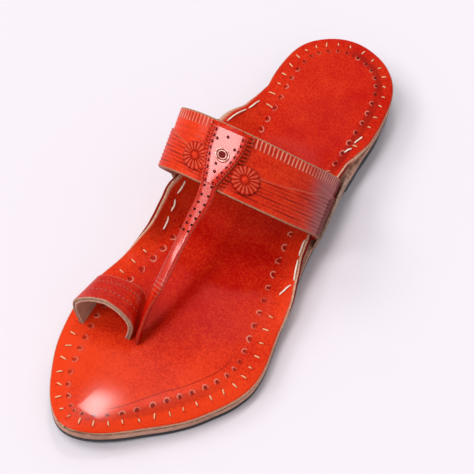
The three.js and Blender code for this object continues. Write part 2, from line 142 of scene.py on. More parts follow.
class Table:
    """Rows of named columns, sorted by the first one, with a smooth curve from row to row."""

    def __init__(self, columns: str, rows: Rows) -> None:
        """Keeps the columns' names, given with spaces between them, and a tuple of values for each row."""
        self.columns = columns.split()
        self.rows = np.array(rows, dtype=float)

    def column(self, name: str) -> Array:
        """All values of one column."""
        return self.rows[:, self.columns.index(name)]

    def read(self, name: str, place: Array) -> Array:
        """Value of a column where the first column is place, held at the first and the last row.

        Args:
            name: the column.
            place: places along the first column.

        Returns:
            One value for each place.
        """
        keys, values = self.rows[:, 0], self.column(name)
        held = np.clip(place, keys[0], keys[-1])
        row = np.clip(np.searchsorted(keys, held, side="right") - 1, 0, len(keys) - 2)
        share = (held - keys[row]) / (keys[row + 1] - keys[row])
        near = [values[np.clip(row + step, 0, len(values) - 1)] for step in (-1, 0, 1, 2)]
        return through_four(*near, share)


class Curve:
    """Smooth line through points, with straight run-outs beyond both ends."""

    def __init__(self, points: Array) -> None:
        """Adds one point beyond each end, mirrored from its neighbour."""
        self.points = np.vstack([2 * points[:1] - points[1:2], points, 2 * points[-1:] - points[-2:-1]])
        self.spans = len(points) - 1

    def at(self, share: Array) -> Array:
        """Points of the line: each span takes an equal part of it and is a cubic through four points.

        Args:
            share: places from 0 at its start to 1 at its end.

        Returns:
            The points.
        """
        place = np.clip(np.asarray(share, dtype=float), 0.0, 1.0) * self.spans
        row = np.minimum(place.astype(int), self.spans - 1)
        near = [self.points[row + step] for step in range(4)]
        return through_four(*near, (place - row)[..., None])


# Form of the sole and of the bands


@dataclass(frozen=True)
class Last:
    """Sizes that the whole sandal is built on, in millimetres, and the form of its sole.

    The tables give the edge's place across as a share of the ball's width at each turn, the notches' depth,
    and how far each ear leans out and rises, as shares of the ball's width and of the strap's height.
    """

    length: float = 264.0
    ball: float = 96.0
    heel_height: float = 8.8
    heel_breast: float = 74.0
    toe_spring: float = 4.2
    strap_height: float = 62.0
    outsole: float = 3.0
    midsole: float = 4.6
    insole: float = 2.8
    crown: float = 1.3
    crown_fade: float = 0.2
    gap: float = 0.3
    tread_start: float = 0.56
    tread_end: float = 0.85
    notch_depth: float = 4.8
    ear_bend: float = 0.7
    outline_turn: float = 15.0
    dome: float = 1.5
    dome_reach: float = 24.0
    dome_start: float = 0.78
    dome_run: float = 0.15
    border_squeeze: float = 0.42
    heel_squeeze: float = 0.3
    heel_squeeze_end: float = 0.36
    squeeze_start: float = 0.84
    squeeze_run: float = 0.1
    outline: Table = Table(
        "turn lateral medial",
        [
            (0, 0.015, 0.015), (15, -0.167, 0.177), (30, -0.286, 0.3), (45, -0.333, 0.331),
            (60, -0.341, 0.302), (75, -0.357, 0.311), (90, -0.396, 0.372), (105, -0.473, 0.41),
            (120, -0.519, 0.477), (135, -0.38, 0.444), (150, -0.168, 0.35), (165, -0.004, 0.245),
            (180, 0.138, 0.138),
        ],
    )
    notches: Table = Table(
        "along depth", [(0.2, 0), (0.25, 0.6), (0.275, 1), (0.49, 1), (0.52, 0.6), (0.58, 0)]
    )
    lateral_ear: Table = Table(
        "along out up",
        [
            (0.2, 0, 0), (0.27, 0.004, 0.05), (0.34, 0, 0.1), (0.41, 0.008, 0.12), (0.48, 0.02, 0.12),
            (0.55, 0.012, 0.08), (0.61, 0.004, 0.03), (0.67, 0, 0),
        ],
    )
    medial_ear: Table = Table(
        "along out up",
        [
            (0.19, 0, 0), (0.25, 0.07, 0.05), (0.31, 0.13, 0.15), (0.38, 0.13, 0.2), (0.45, 0.08, 0.25),
            (0.505, 0.055, 0.28), (0.54, 0.012, 0.25), (0.58, -0.022, 0.17), (0.62, -0.004, 0.06),
            (0.67, 0, 0),
        ],
    )

    def outline_across(self, turn: Array) -> Array:
        """Edge of the sole: a closed smooth curve through the outline's rows.

        Args:
            turn: turns round the sole in degrees, from the heel end over the lateral side.

        Returns:
            The edge's place across.
        """
        ring = np.concatenate([self.outline.column("lateral"), self.outline.column("medial")[-2:0:-1]])
        place = np.mod(np.asarray(turn, dtype=float) / self.outline_turn, len(ring))
        row = np.floor(place).astype(int)
        near = [ring[(row + step) % len(ring)] for step in (-1, 0, 1, 2)]
        return self.ball * through_four(*near, place - row)

    def station(self, turn: Array) -> Array:
        """Distance from the heel end at a turn, half the length times one less the turn's cosine."""
        return self.length * (1 - np.cos(np.radians(turn))) / 2

    def turn_at(self, y: Array) -> Array:
        """Turn in degrees at a distance from the heel end."""
        return np.degrees(np.arccos(np.clip(1 - 2 * np.asarray(y) / self.length, -1, 1)))

    def edges(self, y: Array) -> tuple[Array, Array]:
        """Edges on the little toe's side and on the big toe's side."""
        turn = self.turn_at(y)
        return self.outline_across(turn), self.outline_across(360 - turn)

    def underside(self, y: Array) -> Array:
        """Underside of the sole: the heel's lift eased down to the tread, then a squared toe spring.

        Args:
            y: distance from the heel end.

        Returns:
            Height over the floor.
        """
        run = self.tread_start * self.length - self.heel_breast
        arch = self.heel_height * (1 - smooth((y - self.heel_breast) / run))
        spring = np.maximum(y / self.length - self.tread_end, 0) / (1 - self.tread_end)
        return arch + self.toe_spring * spring**2

    def lift_top(self, y: Array) -> Array:
        """Height of the heel lift's upper face."""
        return self.underside(y) - self.gap

    def outsole_top(self, y: Array) -> Array:
        """Height of the outsole's upper face."""
        return self.underside(y) + self.outsole

    def midsole_bottom(self, y: Array) -> Array:
        """Height of the midsole's lower face."""
        return self.outsole_top(y) + self.gap

    def midsole_top(self, y: Array) -> Array:
        """Height of the midsole's upper face."""
        return self.midsole_bottom(y) + self.midsole

    def insole_bottom(self, y: Array) -> Array:
        """Height of the insole's lower face."""
        return self.midsole_top(y) + self.gap

    def insole_top(self, y: Array, across: Array) -> Array:
        """Upper face of the insole.

        A flat strip between the notched edges, crowned by one less the fourth power of across. Beyond the
        bend it rises and leans out with the square of the rest of the way, as the side's ear table says.

        Args:
            y: distance from the heel end.
            across: place from -1 at the lateral edge to 1 at the medial edge.

        Returns:
            Points on the face.
        """
        y, across = np.broadcast_arrays(np.asarray(y, dtype=float), np.asarray(across, dtype=float))
        along = y / self.length
        notch = self.notch_depth * self.notches.read("depth", along)
        left, right = self.edges(y)
        half = (right - left) / 2 - notch
        bend = np.maximum((np.abs(across) - self.ear_bend) / (1 - self.ear_bend), 0) ** 2
        out, rise = (
            np.where(across < 0, self.lateral_ear.read(name, along), self.medial_ear.read(name, along))
            for name in ("out", "up")
        )
        crown = self.crown * (1 - across**4) * np.minimum(half / (self.crown_fade * self.ball), 1)
        x = (left + right) / 2 + half * across + np.sign(across) * out * self.ball * bend
        z = self.insole_bottom(y) + self.insole + crown + rise * self.strap_height * bend
        return np.stack([x, y, z], axis=-1)

    def insole_normal(self, y: Array, across: Array) -> Array:
        """Direction out of the insole's face, across its two tangents.

        Args:
            y, across: places, as for insole_top.

        Returns:
            Directions of length one.
        """
        step = 1e-3
        aside = self.insole_top(y, across + step) - self.insole_top(y, across - step)
        ahead = self.insole_top(y + step, across) - self.insole_top(y - step, across)
        return unit(np.cross(aside, ahead))

    def border_stretch(self, y: Array) -> Array:
        """Factor by which the border's rows draw nearer to the outline round the toe and round the heel."""
        along = y / self.length
        toe = self.border_squeeze * smooth((along - self.squeeze_start) / self.squeeze_run)
        return 1 + toe + self.heel_squeeze * smooth((self.heel_squeeze_end - along) / self.squeeze_run)

    def toe_dome(self, y: Array, inset: Array) -> Array:
        """Fullness of the toe: one less the square of how near the outline is, eased in towards the toe."""
        toe = smooth((y / self.length - self.dome_start) / self.dome_run)
        return self.dome * toe * (1 - (1 - np.minimum(inset / self.dome_reach, 1)) ** 2)

    def spot(self, across: Array, along: Array, height: Array) -> Array:
        """Point from shares of the ball's width and of the length, and a height in millimetres."""
        parts = np.broadcast_arrays(across * self.ball, along * self.length, height)
        return np.stack(parts, axis=-1).astype(float)

    def stops(self, table: Table, start: str = "") -> Array:
        """Points of a table's rows, from its columns across, along and up, whose names begin with start."""
        across, along, up = (table.column(start + name) for name in ("across", "along", "up"))
        return self.spot(across, along, up * self.strap_height)

    def border(self, count: int) -> tuple[Array, Array]:
        """Points round the outline of the whole sole, in the floor's plane, and the run along it."""
        turn = np.linspace(0, 360, count, endpoint=False)
        points = np.stack([self.outline_across(turn), self.station(turn)], axis=-1)
        return points, run_along(points)


class Band:
    """A curved band between a rear and a front edge.

    A place on it is arc, the share of the way from the lateral to the medial foot, and at, the share of the
    way from the rear to the front edge.
    """

    def __init__(self, rear: Array, front: Array) -> None:
        """Takes the points of both edges."""
        self.rear, self.front = Curve(rear), Curve(front)

    def place(self, arc: Array, at: Array) -> Array:
        """Point on the band: the straight line from the rear edge's point to the front edge's point."""
        arc, at = np.broadcast_arrays(np.asarray(arc, dtype=float), np.asarray(at, dtype=float))
        return mix(self.rear.at(arc), self.front.at(arc), at[..., None])

    def outward(self, arc: Array, at: Array) -> Array:
        """Direction out of the band, across its two tangents.

        Args:
            arc, at: the place.

        Returns:
            Directions of length one.
        """
        step = 1e-3
        held = np.clip(arc, step, 1 - step)
        along = self.place(held + step, at) - self.place(held - step, at)
        across = self.place(held, at + step) - self.place(held, at - step)
        return unit(np.cross(along, across))

    def point(self, arc: Array, at: Array, height: Array) -> Array:
        """Point at a height over the band."""
        return self.place(arc, at) + self.outward(arc, at) * np.asarray(height)[..., None]

    def forward(self, arc: Array) -> Array:
        """Way from the rear edge to the front edge."""
        return self.place(arc, 1.0) - self.place(arc, 0.0)

    def run(self, arc: Array, at: float) -> Array:
        """Distance along the band from its lateral foot, at one share of its width."""
        fine = np.linspace(0, 1, 400)
        return np.interp(arc, fine, run_along(self.place(fine, at)))

    def near(self, arc: Array, at: Array, aside: Array, forward: Array, height: Array) -> Array:
        """Point at distances from a place on the band.

        Args:
            arc, at: the place.
            aside: millimetres round the arch.
            forward: millimetres towards the front edge.
            height: millimetres over the band.

        Returns:
            The points.
        """
        step = 1e-2
        stretch = size(self.place(arc + step, at) - self.place(arc - step, at)) / (2 * step)
        return self.point(arc + aside / stretch, at + forward / size(self.forward(arc)), height)

    def patch(self, arc: Array, at: Array, aside: Array, height: Array, step: float) -> tuple[Array, ...]:
        """Point beside a place, and the two directions of the surface there.

        Args:
            arc, at, aside, height: as for near.
            step: millimetres over which the directions are taken.

        Returns:
            Points, directions round the arch and directions towards the front edge.
        """
        middle = self.near(arc, at, aside, 0 * aside, height)
        beside = self.near(arc, at, aside + step, 0 * aside, height)
        ahead = self.near(arc, at, aside, 0 * aside + step, height)
        return middle, unit(beside - middle), unit(ahead - middle)


# Finishes


def math_node(operation: str, swapped: bool = False) -> Callable[[Wire, float | Wire], Wire]:
    """Operator of wires that adds a Math node.

    Args:
        operation: what the node does.
        swapped: whether its values are swapped, for a reflected form.

    Returns:
        The method.
    """

    def method(wire: Wire, other: float | Wire = 0.0) -> Wire:
        """Adds the node."""
        values = (other, wire) if swapped else (wire, other)
        return wire.graph.node("ShaderNodeMath", {"operation": operation}, dict(enumerate(values)))

    return method


class Wire:
    """A shader socket that takes part in sums."""

    __add__ = __radd__ = math_node("ADD")
    __sub__ = math_node("SUBTRACT")
    __rsub__ = math_node("SUBTRACT", swapped=True)
    __mul__ = __rmul__ = math_node("MULTIPLY")
    __truediv__ = math_node("DIVIDE")
    __pow__ = math_node("POWER")
    __abs__ = math_node("ABSOLUTE")
    larger = math_node("MAXIMUM")
    sine = math_node("SINE")
    fraction = math_node("FRACT")

    def __init__(self, graph: Graph, socket: bpy.types.NodeSocket) -> None:
        """Wraps a socket of a graph."""
        self.graph, self.socket = graph, socket

    def share(self, low: float, high: float) -> Wire:
        """Smooth step from 0 at low to 1 at high, which may be the smaller one."""
        inputs = {"Value": self, "From Min": low, "From Max": high, "To Min": 0.0, "To Max": 1.0}
        return self.graph.node("ShaderNodeMapRange", {"interpolation_type": "SMOOTHSTEP"}, inputs)

    def cell(self, pitch: float) -> Wire:
        """Distance from the middle of the cell, where cells of one pitch follow each other."""
        return ((self / pitch).fraction() - 0.5) * pitch


class Graph:
    """Node tree of one material, which ends in a Principled shader."""

    def __init__(self, name: str) -> None:
        """Makes the material."""
        self.material = bpy.data.materials.new(name)
        self.material.use_nodes = True
        self.tree = self.material.node_tree

    def feed(self, node: bpy.types.Node, inputs: dict) -> None:
        """Gives a node's sockets their values or wires.

        Args:
            node: the node.
            inputs: values or wires by socket name or number.
        """
        for key, value in inputs.items():
            if isinstance(value, Wire):
                self.tree.links.new(value.socket, node.inputs[key])
            else:
                node.inputs[key].default_value = value

    def node(self, kind: str, settings: dict, inputs: dict, output: int | str = 0) -> Wire:
        """Adds a node.

        Args:
            kind: the node's type.
            settings: its own settings, set first.
            inputs: values or wires by socket name or number.
            output: the socket that is wanted.

        Returns:
            The output's wire.
        """
        made = self.tree.nodes.new(kind)
        for key, value in settings.items():
            setattr(made, key, value)
        self.feed(made, inputs)
        return Wire(self, made.outputs[output])

    def attribute(self, name: str) -> Wire:
        """Number stored on the piece's points."""
        return self.node("ShaderNodeAttribute", {"attribute_name": name}, {}, "Fac")

    def place(self) -> Wire:
        """Object coordinates."""
        return self.node("ShaderNodeTexCoord", {}, {}, "Object")

    def noise(self, blot: float, detail: float, stretch: Colour = (1, 1, 1)) -> Wire:
        """Soft noise from 0 to 1.

        Args:
            blot: size of its blots in millimetres.
            detail: number of finer layers.
            stretch: share of the size along each axis.

        Returns:
            The noise.
        """
        scale = tuple(1 / part for part in stretch)
        scaled = self.node("ShaderNodeMapping", {}, {"Vector": self.place(), "Scale": scale})
        inputs = {"Vector": scaled, "Scale": 1 / (blot * MM), "Detail": detail, "Roughness": 0.55}
        return self.node("ShaderNodeTexNoise", {}, inputs)

    def blend(self, factor: float | Wire, first: Colour | Wire, second: Colour | Wire) -> Wire:
        """Colour between two colours."""
        colours = [(*value, 1.0) if isinstance(value, tuple) else value for value in (first, second)]
        inputs = {0: factor, 6: colours[0], 7: colours[1]}
        return self.node("ShaderNodeMix", {"data_type": "RGBA"}, inputs, 2)

    def finish(
        self, colour: Wire, roughness: float | Wire, height: Wire, depth: float, **extra: float | Wire
    ) -> bpy.types.Material:
        """Feeds the shader.

        Args:
            colour: base colour.
            roughness: roughness.
            height: height from 0 to 1 for the bump.
            depth: millimetres that a height of one stands for.
            extra: other shader sockets, with underscores for spaces.

        Returns:
            The material.
        """
        bump = self.node("ShaderNodeBump", {}, {"Strength": 1.0, "Distance": depth * MM, "Height": height})
        feeds = {"Base Color": colour, "Roughness": roughness, "Normal": bump}
        feeds |= {key.replace("_", " "): value for key, value in extra.items()}
        self.feed(self.tree.nodes["Principled BSDF"], feeds)
        return self.material


class Marks(Enum):
    """Pattern that is tooled into a leather, by the name of the method of Tooling that makes it."""

    PLAIN = "plain"
    SOLE = "sole"
    STRAP = "strap"
    LOOP = "loop"
    THONG = "thong"


class Tooling:
    """Patterns of one material, worked out from distances along and across the edge that they follow.

    Each gives the depth of its dents, the darkness of its dye and of its painted shade, and the strength of
    its light scuffs and painted glints.
    """

    def __init__(self, graph: Graph) -> None:
        """Reads both distances."""
        self.graph, self.along, self.across = graph, graph.attribute("along"), graph.attribute("across")

    def plain(self) -> Pattern:
        """No marks."""
        return 0.0, 0.0, 0.0

    def sole(self) -> Pattern:
        """Punched eyes with a raised lip, stitch holes, a painted shade lane beside them and a scribed line.

        Returns:
            Dents, dye with painted shade in the eyes, holes and lane, and light marks that are painted
            glints.
        """
        across, cell = self.across, self.along.cell(STITCH_PITCH)
        reach = ((cell * 1.15) ** 2 + (across - EYE_INSET) ** 2) ** 0.5
        # Noise that makes the painted glints and the painted shade of the lane patchy.
        wear_and_glint = self.graph.noise(11.0, 2.0).share(0.3, 0.62)
        pit = reach.share(1.5, 0.6)
        lip = abs(reach - 1.7).share(0.6, 0.15) * (across - EYE_INSET).share(-0.9, 0.3)
        slot = abs(cell).share(0.75, 0.3) * abs(across - STITCH_INSET).share(2.8, 2.0)
        shown = 1 - self.graph.attribute("bare")
        scribed = abs(across - SCRIBE_INSET).share(0.5, 0.15) * self.graph.attribute("scribe")
        lane = self.graph.attribute("lane")
        # Painted shade: a darker lane along the row of eyes.
        shade = abs(across - (EYE_INSET - 1.6)).share(4.6, 1.2) * lane * wear_and_glint.share(-0.6, 0.6)
        dents = (pit * 1.5 - lip * 0.9 + slot * 0.5) * shown + scribed * 0.6
        # The eyes and the stitch holes are darkened with painted shade; the scribed line is darker too.
        dye_and_shade = (pit * (lane * 0.8 + 0.5) + slot * 0.3) * shown + scribed * 0.4
        # The lips' light marks are painted glints.
        return dents, dye_and_shade.larger(shade), lip * shown * wear_and_glint * 0.8

    def strap(self) -> Pattern:
        """Ladder of short cuts whose bare rungs stand out, at a pitch that wanders a little.

        Returns:
            Dents, dye and scuffs.
        """
        wander = self.graph.noise(5.0, 1.0) - 0.5
        tick = abs((self.along + wander * 0.5).cell(TICK_PITCH)).share(0.56, 0.26)
        lane = abs(self.across - TICK_LANE).share(2.9, 2.3)
        rung = tick * lane
        wear_and_glint = self.graph.noise(7.0, 2.0).share(0.32, 0.6) * 0.6 + 0.4
        return rung * -0.8, (1 - tick) * lane * 0.35, rung * wear_and_glint * self.graph.attribute("ladder")

    def loop(self) -> Pattern:
        """Two rows of dots between two lines.

        Returns:
            Dents, dye and scuffs.
        """
        pitch, across = 2.2, self.across
        first = (self.along.cell(pitch) ** 2 + (across - 5.0) ** 2) ** 0.5
        second = ((self.along + pitch / 2).cell(pitch) ** 2 + (across - 11.5) ** 2) ** 0.5
        dots = first.share(0.8, 0.35).larger(second.share(0.8, 0.35))
        lines = abs(across - 2.8).share(0.5, 0.15).larger(abs(across - 14.5).share(0.5, 0.15))
        return dots.larger(lines * 0.6), dots * 0.4, dots * 0.25

    def thong(self) -> Pattern:
        """A line beside each edge, and rungs where the piece asks for them."""
        edge = abs(abs(self.across) - 0.68).share(0.14, 0.05)
        rung = abs(self.along.cell(2.1)).share(0.35, 0.1) * self.graph.attribute("rungs")
        return edge.larger(rung), edge * 0.45, rung * 0.5


@dataclass(frozen=True)
class Leather:
    """Dyed leather with a waxed face, bare cut edges and a tooled pattern."""

    name: str
    marks: Marks = Marks.PLAIN
    deep: Colour = (0.44, 0.0015, 0.001)
    bright: Colour = (0.74, 0.044, 0.008)
    # Dark red of grooves and dark marks, much of it painted shade.
    groove: Colour = (0.16, 0.004, 0.003)
    scuff_and_glint: Colour = (0.8, 0.25, 0.17)
    raw: Colour = (0.5, 0.27, 0.16)
    # Grey of a painted sheen, a painted reflection.
    sheen_grey: Colour = (0.34, 0.078, 0.075)
    tint: tuple[float, ...] = (1.0, 0.45, 0.3, 1.0)
    roughness: float = 0.42
    coat: float = 0.25
    shine: float = 0.09
    polish: float = 0.17
    grain: float = 1.1
    depth: float = 0.12

    def build(self) -> bpy.types.Material:
        """Makes the material.

        Tone runs from deep to bright with cloudy blots, a grey painted sheen stands for a reflection where a
        piece asks for it, grooves are darker, much of it painted shade, raw edges are bare and fibrous, and
        the bump adds pebbled grain to the tooled pattern.

        Returns:
            The material.
        """
        graph = Graph(self.name)
        dents, dark, light = getattr(Tooling(graph), self.marks.value)()
        raw, groove = graph.attribute("raw"), graph.attribute("groove")
        cloud, blot, fleck = graph.noise(30.0, 4.0), graph.noise(6.0, 3.0), graph.noise(1.0, 2.0)
        tone = graph.attribute("tone") + (cloud - 0.5) * 0.9 + (blot - 0.5) * 0.45 + (fleck - 0.5) * 1.3
        dyed = graph.blend(tone.share(-0.1, 1.1), self.deep, self.bright)
        # Painted reflection: a grey sheen over the dye where a piece asks for it.
        with_painted_sheen = graph.blend(graph.attribute("painted_sheen"), dyed, self.sheen_grey)
        # Grooves and dark marks darken the dye: dye, and painted shade in troughs, slits, holes and lanes.
        dye_and_shade = graph.blend((groove + dark).share(0.0, 1.0), with_painted_sheen, self.groove)
        # Light marks: scuffs, and painted glints on raised lips.
        wear_and_glint = graph.blend(light, dye_and_shade, self.scuff_and_glint)
        fibres = graph.noise(1.1, 3.0, (1.0, 1.0, 0.35))
        tan = graph.blend(fibres.share(0.3, 0.7), tuple(0.55 * part for part in self.raw), self.raw)
        pebbles = {"Vector": graph.place(), "Scale": 1 / (self.grain * MM), "Smoothness": 0.6}
        pebble = graph.node("ShaderNodeTexVoronoi", {"feature": "SMOOTH_F1"}, pebbles)
        grain = pebble * 0.16 + graph.noise(0.5, 2.0) * 0.12 + raw * fibres * 0.6
        return graph.finish(
            graph.blend(raw, wear_and_glint, tan),
            self.roughness + (graph.noise(9.0, 3.0) - 0.5) * 0.16 + raw * 0.45,
            grain - dents,
            self.depth * 3,
            Coat_Weight=(1 - raw) * self.coat * graph.attribute("gloss"),
            Coat_Roughness=self.polish,
            Specular_IOR_Level=self.shine,
            Specular_Tint=self.tint,
        )


@dataclass(frozen=True)
class Stacked:
    """Bare leather or board in layers, with fibres along its edge."""

    name: str
    light: Colour = (0.74, 0.4, 0.28)
    dark: Colour = (0.34, 0.17, 0.12)
    layers: float = 1.5

    def build(self) -> bpy.types.Material:
        """Makes the material: stripes by height, blots of dye and long fibres.

        Returns:
            The material.
        """
        graph = Graph(self.name)
        wander = (graph.noise(12.0, 2.0) - 0.5) * 0.7
        seam = abs((graph.attribute("across") + wander).cell(self.layers)).share(0.62, 0.75)
        fibre = graph.noise(2.2, 4.0, (1.0, 1.0, 0.12))
        stained = (fibre * 0.7 + graph.noise(18.0, 3.0) * 0.3).share(0.36, 0.62)
        colour = graph.blend(stained, self.dark, self.light)
        lined = graph.blend(seam * 0.55, colour, tuple(0.5 * part for part in self.dark))
        return graph.finish(lined, 0.78, fibre - seam * 0.6, 0.25, Specular_IOR_Level=0.3)


@dataclass(frozen=True)
class Suede:
    """Napped flesh side of a leather."""

    name: str
    light: Colour = (0.6, 0.36, 0.25)
    dark: Colour = (0.36, 0.18, 0.12)

    def build(self) -> bpy.types.Material:
        """Makes the material: fine nap over soft blots.

        Returns:
            The material.
        """
        graph = Graph(self.name)
        nap, blot = graph.noise(0.7, 4.0), graph.noise(7.0, 3.0)
        colour = graph.blend((nap * 0.5 + blot * 0.5).share(0.3, 0.7), self.dark, self.light)
        return graph.finish(colour, 0.95, nap, 0.2, Specular_IOR_Level=0.2, Sheen_Weight=0.3)


@dataclass(frozen=True)
class Rubber:
    """Black moulded rubber sheet."""

    name: str
    colour: Colour = (0.018, 0.017, 0.02)
    dust: Colour = (0.06, 0.055, 0.055)

    def build(self) -> bpy.types.Material:
        """Makes the material: fine pores and a little dust.

        Returns:
            The material.
        """
        graph = Graph(self.name)
        film = graph.noise(14.0, 4.0)
        colour = graph.blend(film.share(0.45, 0.8) * 0.6, self.colour, self.dust)
        pores = graph.noise(0.8, 3.0)
        return graph.finish(colour, 0.62 + (film - 0.5) * 0.2, pores, 0.15, Specular_IOR_Level=0.4)


@dataclass(frozen=True)
class Thread:
    """Waxed cotton thread."""

    name: str
    light: Colour = (0.82, 0.5, 0.27)
    dark: Colour = (0.62, 0.2, 0.08)

    def build(self) -> bpy.types.Material:
        """Makes the material: twist lines that run round the thread, and stains of dye.

        Returns:
            The material.
        """
        graph = Graph(self.name)
        twist = ((graph.attribute("along") * 6.5 + graph.attribute("across") * 6.283).sine() + 1) * 0.5
        colour = graph.blend(graph.noise(3.0, 2.0).share(0.4, 0.72) * 0.7, self.light, self.dark)
        return graph.finish(colour, 0.7, twist, 0.12, Specular_IOR_Level=0.35)


@dataclass(frozen=True)
class Metal:
    """Dull aged metal."""

    name: str
    light: Colour = (0.95, 0.55, 0.48)
    dark: Colour = (0.5, 0.2, 0.16)

    def build(self) -> bpy.types.Material:
        """Makes the material: dull tarnish in soft blots, rougher than the rest.

        Returns:
            The material.
        """
        graph = Graph(self.name)
        tarnish = graph.noise(1.8, 3.0)
        colour = graph.blend(tarnish.share(0.35, 0.7), self.light, self.dark)
        return graph.finish(colour, 0.34 + tarnish * 0.2, tarnish, 0.05, Metallic=1.0)


@dataclass(frozen=True)
class HoleShade:
    """Painted shade for the inside of a punched hole."""

    name: str
    colour: Colour = (0.03, 0.003, 0.003)

    def build(self) -> bpy.types.Material:
        """Makes the material: dark painted shade with faint fibres.

        Returns:
            The material.
        """
        graph = Graph(self.name)
        fibre = graph.noise(0.6, 2.0)
        colour = graph.blend(fibre, self.colour, tuple(2.5 * part for part in self.colour))
        return graph.finish(colour, 0.9, fibre, 0.05, Specular_IOR_Level=0.1)


@dataclass(frozen=True)
class Paper:
    """Pale floor that the sandal stands on."""

    name: str
    colour: Colour = (0.785, 0.742, 0.785)

    def build(self) -> bpy.types.Material:
        """Makes the material: nearly even, with a faint tooth.

        Returns:
            The material.
        """
        graph = Graph(self.name)
        tooth = graph.noise(1.5, 3.0)
        colour = graph.blend(tooth, tuple(0.985 * part for part in self.colour), self.colour)
        return graph.finish(colour, 0.9, tooth, 0.02, Specular_IOR_Level=0.2)


# Meshes


def ring_faces(rings: int, places: int) -> Array:
    """Quads between closed rings: each joins two neighbours of a ring to the same two of the next ring.

    Args:
        rings: number of rings.
        places: number of points in a ring.

    Returns:
        Corner numbers, four to a row.
    """
    ring, place = np.meshgrid(np.arange(rings - 1), np.arange(places), indexing="ij")
    here, after = ring * places + place, ring * places + (place + 1) % places
    return np.stack([here, after, after + places, here + places], axis=-1).reshape(-1, 4)


def add_object(name: str, data: bpy.types.ID) -> bpy.types.Object:
    """Object of some data, put into the scene."""
    made = bpy.data.objects.new(name, data)
    bpy.context.scene.collection.objects.link(made)
    return made


@dataclass
class Piece:
    """Mesh of one piece and what its finish reads from its points."""

    name: str
    points: Array
    faces: list[list[int]]
    values: dict[str, Array] = field(default_factory=dict)

    def build(self, material: bpy.types.Material, slot: str, nodes: Sequence[str] = ()) -> None:
        """Puts the mesh into the scene.

        Args:
            material: its finish.
            slot: not used; the material slot of the record that it belongs to.
            nodes: solids that it stands for.
        """
        mesh = bpy.data.meshes.new(self.name)
        mesh.from_pydata(((self.points - ORIGIN) * MM).tolist(), [], self.faces)
        for name, value in self.values.items():
            data = mesh.attributes.new(name, "FLOAT", "POINT")
            data.data.foreach_set("value", value.astype(np.float32))
        tidy = bmesh.new()
        tidy.from_mesh(mesh)
        bmesh.ops.recalc_face_normals(tidy, faces=tidy.faces)
        tidy.to_mesh(mesh)
        tidy.free()
        mesh.polygons.foreach_set("use_smooth", np.ones(len(mesh.polygons), dtype=bool))
        mesh.materials.append(material)
        made = add_object(self.name, mesh)
        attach(made, "root")
        if nodes:
            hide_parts(*nodes)
        log.info("%s: %d faces", self.name, len(mesh.polygons))


def lofts(name: str, rings: Array, values: dict[str, Array | float]) -> Piece:
    """Many closed skins over rings of points, each with a flat face over both its ends.

    Args:
        name: the piece's name.
        rings: points as an array of skins by rings by places by three.
        values: values for the finish, which stretch to skins by rings by places.

    Returns:
        The piece.
    """
    skins, count, places = rings.shape[:3]
    caps = np.stack([np.arange(places)[::-1], np.arange(places) + (count - 1) * places])
    offsets = (np.arange(skins) * count * places)[:, None, None]
    quads = (ring_faces(count, places) + offsets).reshape(-1, 4)
    ends = (caps + offsets).reshape(-1, places)
    flat = {key: np.broadcast_to(value, rings.shape[:3]).ravel() for key, value in values.items()}
    return Piece(name, rings.reshape(-1, 3), quads.tolist() + ends.tolist(), flat)


def loft(name: str, rings: Array, values: dict[str, Array | float]) -> Piece:
    """One closed skin over rings of points, fully glossy where its values don't say otherwise."""
    return lofts(name, rings[None], {"gloss": 1.0} | values)


def closed_rings(face: Array, back: Array, wall: Array, push: Array | float = 0.0) -> Array:
    """Rings that run over a face, down a wall, back below and up the other wall.

    Args:
        face, back: points of both faces, in the order in which the ring passes them.
        wall: shares of the way down a wall, as a column.
        push: how far the walls bulge, outwards at the first one.

    Returns:
        The rings.
    """
    down = mix(face[:, None, -1], back[:, None, 0], wall) + push
    up = mix(back[:, None, -1], face[:, None, 0], wall) - push
    return np.concatenate([face, down, back, up], axis=1)


def ring_values(face: Array, rings: Array, pairs: dict[str, tuple]) -> dict[str, Array]:
    """Values for the finish over whole rings.

    Args:
        face: points of the rings' first part.
        rings: the rings.
        pairs: a value on the face and one on the rest of the ring, by name.

    Returns:
        Arrays of rings by places.
    """
    shape = face.shape[:2]
    rest = (shape[0], rings.shape[1] - shape[1])
    return {
        name: np.concatenate([np.broadcast_to(value, shape), np.broadcast_to(fill, rest)], axis=1)
        for name, (value, fill) in pairs.items()
    }


def tubes(name: str, paths: Array, normals: Array, radius: float, sides: int = 8) -> Piece:
    """Round threads along many paths at once.

    Each path's points carry a ring: cosine along the side, sine along the normal, with the ends drawn in by
    the root of one less the sixth power of the way to them.

    Args:
        name: the piece's name.
        paths: middle lines, as threads by steps by three.
        normals: upward direction at each of their points.
        radius: radius of the thread.
        sides: sides of its section.

    Returns:
        The piece.
    """
    ahead = unit(np.gradient(paths, axis=1))
    side = unit(np.cross(ahead, normals))
    over = unit(np.cross(side, ahead))
    share = np.linspace(-1, 1, paths.shape[1])[:, None, None]
    thick = radius * np.sqrt(np.clip(1 - np.abs(share) ** 6, 0.04, 1))
    angle = turns(sides)
    section = np.cos(angle)[:, None] * side[:, :, None] + np.sin(angle)[:, None] * over[:, :, None]
    values = {"along": run_along(paths)[..., None], "across": angle / (2 * np.pi)}
    return lofts(name, paths[:, :, None] + thick * section, values)


